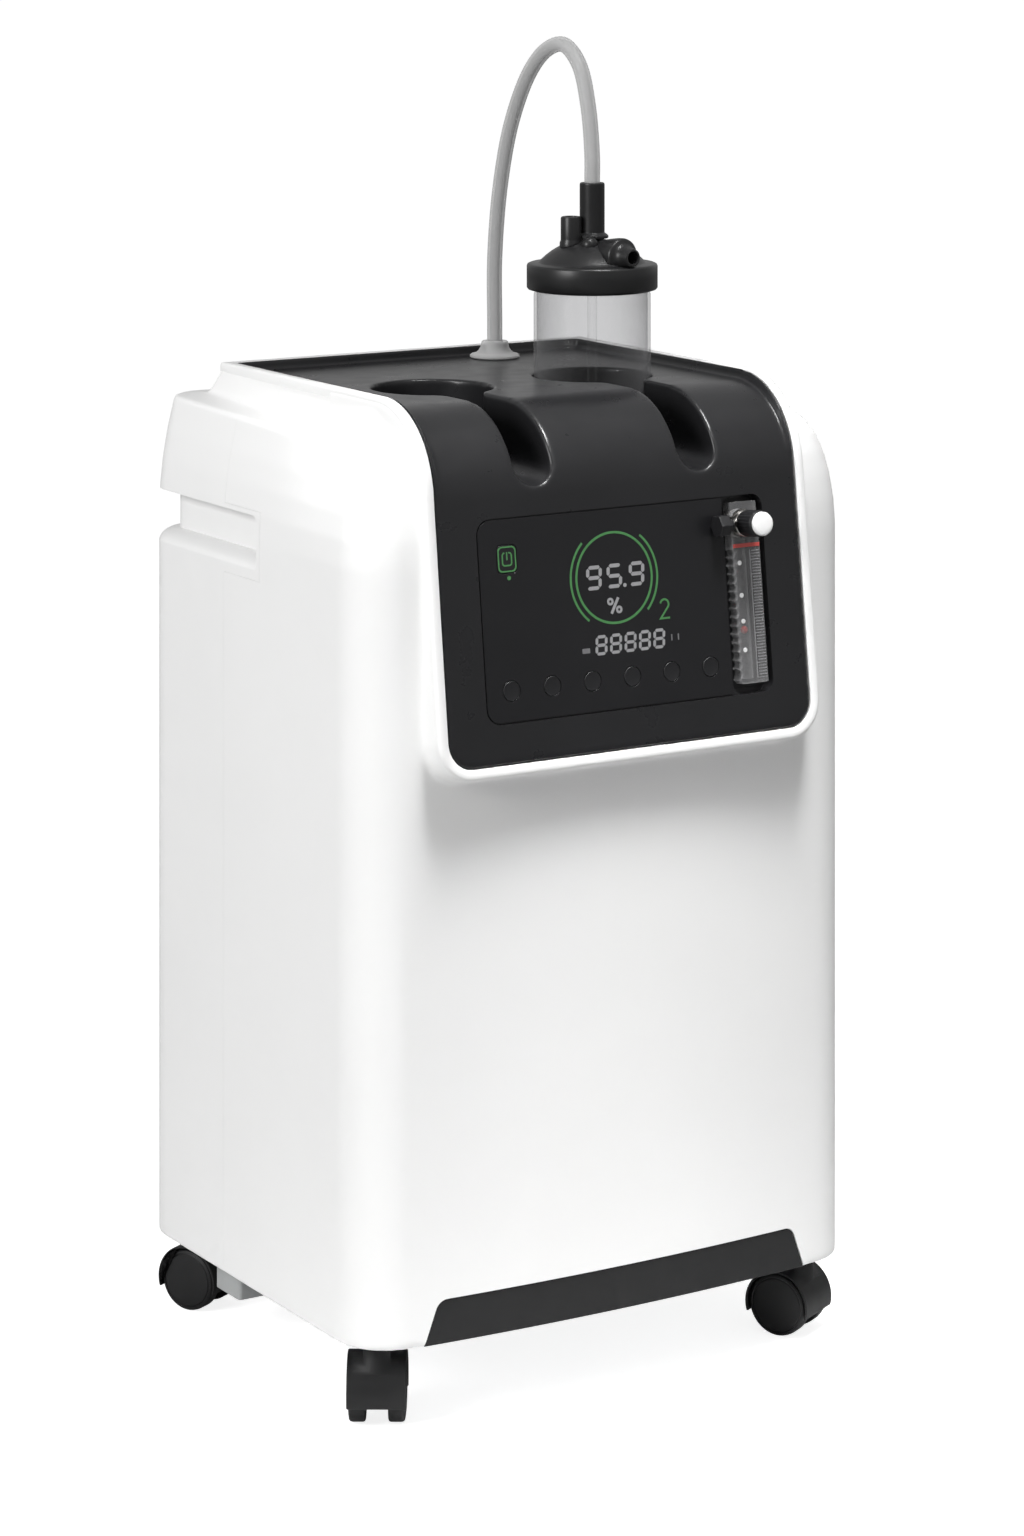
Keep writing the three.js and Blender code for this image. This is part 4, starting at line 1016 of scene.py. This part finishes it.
def flowmeter():
    """A thick clear bar with a bore for the float, on a black backing."""
    foot = FLOW_LOW + 3
    bar = prism("flow_bar", toothed_outline(), -8.8, 0.6, PANEL)
    bore_place = PANEL @ at(*FLOW_BORE) @ turn(-90, "X")
    bore = turned("bore", drum(4.1, foot, 140), bore_place, 40)
    groove = prism("groove", rectangle(95.4, FLOW_LOW + 2, 96.2, FLOW_BAND - 5, 0.3, 2), -1.4, 3, PANEL)
    seat = turned("seat", drum(9.3, -8.8, 3), PANEL @ at(*VALVE), 64)
    cut(bar, bore, groove, seat)
    dress(rounded(bar, 0.5), "casing", FLOWCLEAR, "flowmeter_tube")
    flow_marks()
    bead = ball("float_ball", 2.5, bore_place @ at(z=(FLOW_LOW + FLOW_BAND) / 2 - 10))
    dress(crisp(bead, 60), "flow_float", RED, "flow_float")
    behind = rectangle(FLOW_LEFT - 2.2, FLOW_LOW - 3, FLOW_RIGHT + 2.2, FLOW_HIGH + 2, 3)
    dress(rounded(prism("flow_backing", behind, -9.4, -9.0, PANEL), 0.15), "casing", KEYS)


def ribbed(piece, place, ribs, reach):
    """Pulls a turned piece's wall inwards between its ribs, beyond `reach` from its axis."""
    for vertex in piece.data.vertices:
        local = place.inverted() @ (vertex.co / MM - SHIFT)
        if math.hypot(local.x, local.y) > reach:
            angle = math.atan2(local.y, local.x)
            pull = 1 - 0.035 * max(0.0, math.cos(angle * ribs))
            vertex.co = (place @ Vector((local.x * pull, local.y * pull, local.z)) + SHIFT) * MM
    return piece


def valve():
    """The valve in front of the flowmeter: metal barrel, ribbed knob, white cap, side nut."""
    place = PANEL @ at(*VALVE)
    profile = [(0, -8.6), (8.9, -8.6), (9.1, -8.4), (9.1, -5.6), (8.5, -5.2), (8.5, 4.6)]
    profile += [(8.1, 5.2), (3.3, 5.3), (3.3, 2), (0, 2)]
    barrel = turned("valve_block", profile, place, 56)
    dress(crisp(barrel, 40), "casing", CHROME, "flow_valve_body")
    ribs = 24
    profile = [(0, 2.2), (3, 2.2), (3, 5.7), (7.6, 5.7), (8.4, 6.5), (8.5, 8)]
    profile += [(8.5, 19.5), (8.1, 20.9), (7.2, 21.5), (0, 21.5)]
    knob = ribbed(turned("knob_grip", profile, place, ribs * 4), place, ribs, 8.2)
    dress(crisp(knob, 50), "flow_control", KEYS, "flow_knob")
    profile = [(0, 21.7), (7.3, 21.7), (7.5, 22), (7.5, 23.6), (7.2, 24.3), (6.4, 24.7)]
    cap = turned("knob_top", profile + [(3.5, 24.8), (0, 24.8)], place, 64)
    dress(crisp(cap, 50), "flow_control", WHITE, "flow_knob_cap")
    side = place @ at(-12.6, 0, 7.2) @ turn(-90, "Y")
    nut = turned("union_nut", [(0, 0), (4.2, 0), (4.2, 4), (7.4, 4), (7.4, 11.9), (0, 11.9)], side, 6)
    dress(rounded(nut, 0.7), "casing", KEYS, "flow_union_nut")


# ---------------------------------------------------------------- humidifier


def at_well(x=0.0, y=0.0, z=0.0):
    return at(WELL.x + x, WELL.y + y, z)


def bottle():
    """A clear jar with a rounded foot and a coarse thread under the lid."""
    r = (BOTTLE_HIGH.x - BOTTLE_LOW.x) / 2
    low, high = BOTTLE_LOW.z, BOTTLE_HIGH.z
    outside = [(0, low + 1.2), (r - 12, low + 0.4), (r - 9, low), *arc(r - 5, low + 5, 5, -90, 0, 6)]
    thread = [(r, high - 9), (r - 0.7, high - 7.5), (r, high - 6), (r - 0.7, high - 4)]
    thread += [(r, high - 2.5), (r, high)]
    inside = [(r - 2, high), (r - 2, low + 7.4), *arc(r - 6.5, low + 7.2, 4.5, 0, -90, 6)]
    jar = turned("bottle", outside + thread + inside + [(0, low + 3.6)], at_well(), 96)
    dress(crisp(jar, 50), "humidifier", CLEAR, "humidifier_bottle")


def ball(name, radius, place):
    steps = (math.radians(15 * i) for i in range(1, 12))
    side = [(radius * math.sin(a), -radius * math.cos(a)) for a in steps]
    return turned(name, [(0, -radius), *side, (0, radius)], place, 32)


def hub_space():
    """The room that the stem's flange takes, so that the lid can turn round it."""
    profile = [(0, 690), (11.2, 690), (11.2, 716), (8.8, 717), (8.8, 760), (0, 760)]
    return turned("hub_space", profile, at_well(), 64)


# The lid's dome is part of a ball, given as (radius, height) from its middle outwards.
DOME_RADIUS = 48
DOME_CENTRE = 663.7
DOME = tuple(
    (DOME_RADIUS * math.sin(math.radians(a)), DOME_CENTRE + DOME_RADIUS * math.cos(math.radians(a)))
    for a in (10, 16, 22, 28, 34, 40, 45, 47.6)
)
BAND_TOP = 695.4  # top of the plain band round the lid, under the dome


def lid():
    r = (LID_HIGH.x - LID_LOW.x) / 2
    low = LID_LOW.z
    outside = [(r - 4, low), (r - 0.8, low + 0.9), (r, low + 2), (r, BAND_TOP - 1.8)]
    outside += [(r - 0.5, BAND_TOP - 0.6), (r - 1.8, BAND_TOP), (36.6, BAND_TOP + 0.3)]
    inside = [(4.8, 707.5), (14, 706.5), (24, 702), (30, 696.5), (35, 690.5), (39.3, 686), (39.3, low)]
    profile = outside + [*DOME[::-1], (4.8, 711.4)] + inside
    piece = turned("lid", profile, at_well(), 96)
    boss = ball("ball", 5.8, at_well(-9.0, -10.9, 708.3))
    join(piece, cut(boss, hub_space()))
    dress(crisp(piece, 45), "humidifier_lid", LID, "humidifier_lid")


def inlet_stem():
    """The upright stem, with a flange at its foot."""
    top = 748.6
    profile = [(0, 690), (4, 690), (4, 711.9), (10.4, 711.9), (10.8, 712.3), (10.8, 713.6)]
    profile += [(9.8, 714.5), (8.3, 715.6), (8.3, top - 1.4), (8.1, top - 0.4), (7.6, top)]
    profile += [(5.7, top), (5.6, 738), (0, 738)]
    stem = rounded(turned("inlet_stem", profile, at_well(), 64), 0.35, 2, 50)
    dress(stem, "humidifier", LID, "humidifier_inlet")


def diffuser():
    """The dip tube, with a porous foot that makes the bubbles."""
    profile = [(0, 551), (6.7, 551), (7.4, 551.8), (7.5, 553), (7.5, 562), (6.8, 563.4), (3.4, 565.8)]
    profile += [(3.2, 567), (3.2, 689.6), (0, 689.6)]
    tube = turned("dip_tube", profile, at_well(), 40)
    dress(crisp(tube, 45), "humidifier", TUBE, "humidifier_diffuser")


def under_dome():
    """Everything under the lid's outer surface, used to fit the relief valve and outlet."""
    raised = [(radius, z + 0.3) for radius, z in reversed(DOME)]
    profile = [(0, 660), (50, 660), (50, BAND_TOP + 0.4), (36.4, BAND_TOP + 0.6), *raised, (0, 712.1)]
    return turned("under_dome", profile, at_well(), 96)


def relief_valve():
    """A short upright stub with a hollow top, behind the stem on the left."""
    profile = [(0, 700), (7.6, 700), (7.6, 709.4), (7.0, 710.8), (6.9, 712), (6.9, 725.4)]
    profile += [(6.5, 726.4), (5.7, 726.7), (4.2, 726.7), (4.0, 726.2), (4.0, 720), (0, 720)]
    stub = turned("relief_stub", profile, at_well(-15.0, 2.4), 48)
    cut(stub, under_dome(), hub_space())
    dress(crisp(stub, 45), "humidifier_lid", LID, "humidifier_relief_valve")


def outlet():
    """A wide rounded housing on the dome, with a smaller nozzle that points forward."""
    along = at_well(z=701.8) @ turn(-84, "Z") @ turn(90, "Y")
    housing = [(0, 4), (8.6, 4), (9.6, 12), (11.0, 20), (12.0, 27), (12.2, 31), (11.9, 32.4)]
    housing += [(11.0, 33.2), (9.6, 33.4), (8.0, 34.6), (6.8, 37.4)]
    nozzle = [(6.3, 41.4), (5.9, 42.8), (5.0, 43.3), (4.4, 43.1), (4.2, 42.2), (4.2, 32), (0, 32)]
    body = turned("outlet", housing + nozzle, along, 64)
    cut(body, under_dome(), hub_space())
    dress(crisp(body, 40), "humidifier_lid", LID, "humidifier_outlet")


# ---------------------------------------------------------------- hose

BOOT_LOW, BOOT_HIGH = cad_box("hose_boot")
BOOT = (BOOT_LOW + BOOT_HIGH) / 2
HOSE_RADIUS = 5.2
HOSE_BORE = 3.4


def hose_path():
    """Where the hose runs, through stations of (share of the way from the boot to the inlet
    stem, height)."""
    stations = (
        (0, 627.5), (0, 645), (0, 690), (0.06, 740), (0.18, 784), (0.37, 819), (0.55, 835),
        (0.72, 838.5), (0.87, 826), (0.96, 799), (1, 766), (1, 750), (1, 738.8),
    )
    knots = [Vector((lerp(BOOT.x, WELL.x, a), lerp(BOOT.y, WELL.y, a), z)) for a, z in stations]
    knots = [2 * knots[0] - knots[1]] + knots + [2 * knots[-1] - knots[-2]]
    steps = 10
    path = []
    for around in zip(knots, knots[1:], knots[2:], knots[3:]):
        path += [catmull_rom(*around, i / steps) for i in range(steps)]
    path.append(knots[-2])
    return path


def catmull_rom(a, b, c, d, t):
    """The centripetal Catmull-Rom curve through b and c."""
    times = [0.0]
    for p, q in ((a, b), (b, c), (c, d)):
        times.append(times[-1] + max(1e-6, (q - p).length ** 0.5))
    now = lerp(times[1], times[2], t)

    def between(p, q, first, last):
        return lerp(p, q, (now - times[first]) / (times[last] - times[first]))

    middle = between(b, c, 1, 2)
    before = between(between(a, b, 0, 1), middle, 0, 2)
    after = between(middle, between(c, d, 2, 3), 1, 3)
    return between(before, after, 1, 2)


def swept_ring(path, radius, sides):
    """Rings of points round a path that stays in one upright plane."""
    aside = (path[-1] - path[0]).cross(Vector((0, 0, 1))).normalized()
    rings = []
    for i, here in enumerate(path):
        ahead = (path[min(i + 1, len(path) - 1)] - path[max(i - 1, 0)]).normalized()
        other = ahead.cross(aside)
        angles = (2 * math.pi * k / sides for k in range(sides))
        rings.append([here + (aside * math.cos(a) + other * math.sin(a)) * radius for a in angles])
    return rings


def hose():
    path = hose_path()
    outer = swept_ring(path, HOSE_RADIUS, 32)
    inner = swept_ring(path, HOSE_BORE, 32)
    piece = loft("hose", outer + inner[::-1], closed=False)
    dress(crisp(piece, 60), "humidifier", SILICONE, "oxygen_hose")


def boot():
    """The collar where the hose leaves the tray: (radius, height above the tray)."""
    steps = (
        (5.5, 0), (16.2, 0), (17, 0.6), (17, 1.6), (16, 2.4), (13.4, 3), (11.4, 4.4),
        (10, 6.6), (9.3, 9), (9.1, 10.6), (8.5, 11.3), (7, 11.5), (5.5, 11.5),
    )
    piece = turned("hose_collar", steps, at(BOOT.x, BOOT.y, BOOT_LOW.z), 64)
    dress(crisp(piece, 50), "humidifier", SILICONE, "hose_boot")


# ---------------------------------------------------------------- casters

CASTERS = {"front_left": -122, "front_right": -62, "rear_left": -62, "rear_right": -100}
WHEEL = 20.0
TRAIL = 9.0
CASTER_HALF = 19.0





def caster(name, heading):
    """One twin-wheel caster: its hood arches over both wheels, open at the trailing side."""
    joint = next(j for j in frame["joints"] if j["name"] == f"caster_{name}_swivel")
    x, y = joint["pos_m"][0] / MM, joint["pos_m"][1] / MM - SHIFT.y
    place = at(x, y) @ turn(heading - 90, "Z")
    on_axle = place @ at(0, -TRAIL, WHEEL)
    inner, outer = WHEEL + 0.9, WHEEL + 2.6
    half = CASTER_HALF - 0.5
    cover = arc(0, 0, outer, -16, 198, 48) + arc(0, 0, inner, 198, -16, 48)
    web = arc(0, 0, inner + 0.6, -16, 198, 48) + arc(0, 0, 6, 198, 344, 20)
    body = rounded(prism(f"caster_cover_{name}", cover, -half, half, on_axle @ SIDEWAYS), 1.1, 4)
    boss = [(0, 30), (8.5, 30), (8.5, 49.5), (7.7, 50.8), (0, 50.8)]
    join(body, prism("web", web, -6.4, 6.4, on_axle @ SIDEWAYS), turned("boss", boss, place, 40))
    sides = {"a": on_axle @ turn(-90, "Y"), "b": on_axle @ turn(90, "Y")}
    for side in sides.values():
        cut(body, turned("space", drum(inner - 0.05, 6.5, 19.5), side, 72))
    cut(body, turned("stem_hole", drum(5, 37, 60), place, 32))
    join(body, turned("axle", drum(3, -15, 15), sides["b"], 32))
    dress(crisp(body, 35), f"caster_{name}", SATIN, f"caster_hood_{name}")
    hub = CASTER_HALF - 3.8
    face = CASTER_HALF - 0.6
    tyre = [(3.3, 7), (WHEEL - 1.4, 7), (WHEEL - 0.5, 7.4), (WHEEL, 8.4), (WHEEL, 15)]
    tyre += [(WHEEL - 0.3, 16.4), (WHEEL - 1.2, 17.2), (WHEEL - 2.1, 17.4), (WHEEL - 2.5, 16.9)]
    disc_face = [(WHEEL - 2.9, 17.0), (WHEEL - 3.4, 17.6), (13, 18.0), (8, face - 0.15), (0, face)]
    for key, side in sides.items():
        profile = tyre + disc_face + [(0, hub), (3.3, hub)]
        wheel = turned(f"caster_disc_{key}_{name}", profile, side, 72)
        dress(crisp(wheel, 40), f"wheel_{key}_{name}", TREAD, f"caster_wheel_{key}_{name}")


# ---------------------------------------------------------------- rear and underside


def filter_cover():
    low, high = cad_box("filter_door")
    edge = rectangle(low.x, low.z, high.x, high.z, 7.6)
    slats = []
    z = low.z + 20
    while z < high.z - 14:
        slats.append(rectangle(low.x + 14, z, high.x - 14, z + 4.6, 2.2, 5))
        z += 10.5
    piece = plate("intake_cover", [edge, *slats], -high.y, -low.y, 0.7, BACKWARD)
    dress(piece, "filter_door", WHITE, "filter_door")


def breaker():
    low, high = cad_box("breaker_button")
    profile = [(0, low.y), (6, low.y), (6, high.y - 1), (5.6, high.y - 0.3), (4.8, high.y)]
    profile += [(3, high.y - 0.4), (0, high.y - 0.6)]
    place = at((low.x + high.x) / 2, 0, (low.z + high.z) / 2) @ turn(-90, "X")
    dress(crisp(turned("breaker_cap", profile, place, 40), 45), "breaker_button", KEYS, "breaker_button")


def mains_inlet():
    """A sunk three-pin socket."""
    low, high = cad_box("power_inlet")
    x, z = (low.x + high.x) / 2, (low.z + high.z) / 2
    body = through_wall("mains_inlet", rectangle(low.x, low.z, high.x, high.z, 2), low.y, high.y)
    cut(body, through_wall("socket", rectangle(x - 13, z - 9, x + 13, z + 9, 3), high.y - 15, high.y + 9))
    rounded(body, 0.8)
    for pin in (x - 7, x, x + 7):
        outline = rectangle(pin - 1, z - 3, pin + 1, z + 3, 0.4, 2)
        join(body, through_wall("pin", outline, high.y - 16, high.y - 3))
    dress(crisp(body, 40), "casing", LID, "power_inlet")


def exhaust_box():
    low, high = cad_box("exhaust_duct")
    body = prism("air_outlet", rectangle(low.x, low.y, high.x, high.y, 3, 5), low.z, high.z)
    hollow = rectangle(low.x + 3, low.y + 3, high.x - 3, high.y - 3, 1, 2)
    inside = prism("inside", hollow, low.z + 3, high.z + 5)
    mouth = block("mouth", high.x - 10, high.x + 10, low.y + 5, high.y - 5, low.z + 5, high.z - 5)
    cut(body, inside, mouth)
    dress(rounded(body, 0.7), "casing", GREY, "exhaust_duct")


# ---------------------------------------------------------------- stage

EYE_X, EYE_Y, EYE_Z = -1.4634, -2.4066, 0.9773  # in metres
EYE_TURN = -31.502
EYE_LENS = 100.19
EYE_SHIFT = -0.606


def camera():
    """A level camera whose picture is shifted down, as an architect's lens does. Other
    views turn the camera and move it, so the shift holds only at this place."""
    data = bpy.data.cameras.new("camera")
    data.sensor_width = 36
    data.lens = EYE_LENS
    data.clip_end = 50
    eye = bpy.data.objects.new("camera", data)
    bpy.context.scene.collection.objects.link(eye)
    eye.location = Vector((EYE_X, EYE_Y, EYE_Z)) + SHIFT * MM
    eye.rotation_euler = (math.pi / 2, 0, math.radians(EYE_TURN))
    bpy.context.scene.camera = eye
    curve = data.driver_add("shift_y")
    reading = curve.driver.variables.new()
    reading.name = "x"
    reading.targets[0].id = eye
    reading.targets[0].data_path = "location[0]"
    curve.driver.expression = f"{EYE_SHIFT} if abs(x - {EYE_X}) < 0.001 else 0.0"


def area_light(name, spot, target, size, power, spread=180):
    """A square softbox. `spread` is the angle of its beam, in degrees."""
    data = bpy.data.lights.new(name, "AREA")
    data.size = size
    data.energy = power
    data.spread = math.radians(spread)
    lamp = bpy.data.objects.new(name, data)
    bpy.context.scene.collection.objects.link(lamp)
    lamp.location = spot
    lamp.rotation_euler = (Vector(target) - Vector(spot)).to_track_quat("-Z", "Y").to_euler()


def studio_tone():
    """Plain tones, so that the pale casing stays pale."""
    bpy.context.scene.view_settings.view_transform = "Standard"


LIGHT_LEVEL = 0.3  # how bright the sky is for the light that it casts,
SHINE_LEVEL = 0.5  # for what shiny surfaces show of it
SEEN_LEVEL = 1.03  # and for the camera
FLOOR_GLOW = 0.84  # how much the camera sees the floor glow, so that it stays white


def pale_world():
    """White where the camera sees it, and dimmer where it lights the object."""
    world = bpy.context.scene.world or bpy.data.worlds.new("studio")
    bpy.context.scene.world = world
    world.use_nodes = True
    tree = world.node_tree
    path = added(tree, "LightPath")
    lit = mapped(tree, path.outputs["Is Glossy Ray"], LIGHT_LEVEL, SHINE_LEVEL, 0.0, 1.0)
    seen = mapped(tree, path.outputs["Is Camera Ray"], lit, SEEN_LEVEL, 0.0, 1.0)
    feed(tree, tree.nodes["Background"], Color=(1, 1, 1, 1), Strength=seen)


def pale_floor():
    bpy.ops.mesh.primitive_plane_add(size=60, location=(0, 0, -0.0005))
    ground = bpy.context.active_object
    ground.name = "floor"
    material, tree, shader = node_tree("floor")
    pale = mixed(tree, mapped(tree, noise(tree, 2.0), 0.0, 1.0), (0.6, 0.6, 0.6), (0.62, 0.62, 0.62))
    seen = added(tree, "LightPath").outputs["Is Camera Ray"]
    glow = mapped(tree, seen, 0.0, FLOOR_GLOW, 0.0, 1.0)
    feed(tree, shader, Base_Color=pale, Roughness=0.9, Specular_IOR_Level=0.0)
    feed(tree, shader, Emission_Color=(1, 1, 1, 1), Emission_Strength=glow)
    ground.data.materials.append(material)


def stage():
    pale_world()
    pale_floor()
    middle = (0, 0, 0.35)
    area_light("key_light", (0.35, -1.5, 2.1), middle, 1.0, 3)
    area_light("left_light", (-2.5, -0.5, 1.5), middle, 1.0, 51)
    area_light("hood_light", (0.0, -0.64, 1.95), (0, -0.2, 0.18), 0.5, 2.1, 27)


# ---------------------------------------------------------------- assembly

dress_cad_nodes()
casing()
rim()
kick_plate()
fascia()
screen()
keys()
graphics()
flowmeter()
valve()
bottle()
lid()
inlet_stem()
diffuser()
relief_valve()
outlet()
hose()
boot()
for caster_name, caster_heading in CASTERS.items():
    caster(caster_name, caster_heading)
filter_cover()
breaker()
mains_inlet()
exhaust_box()
camera()
stage()
studio_tone()
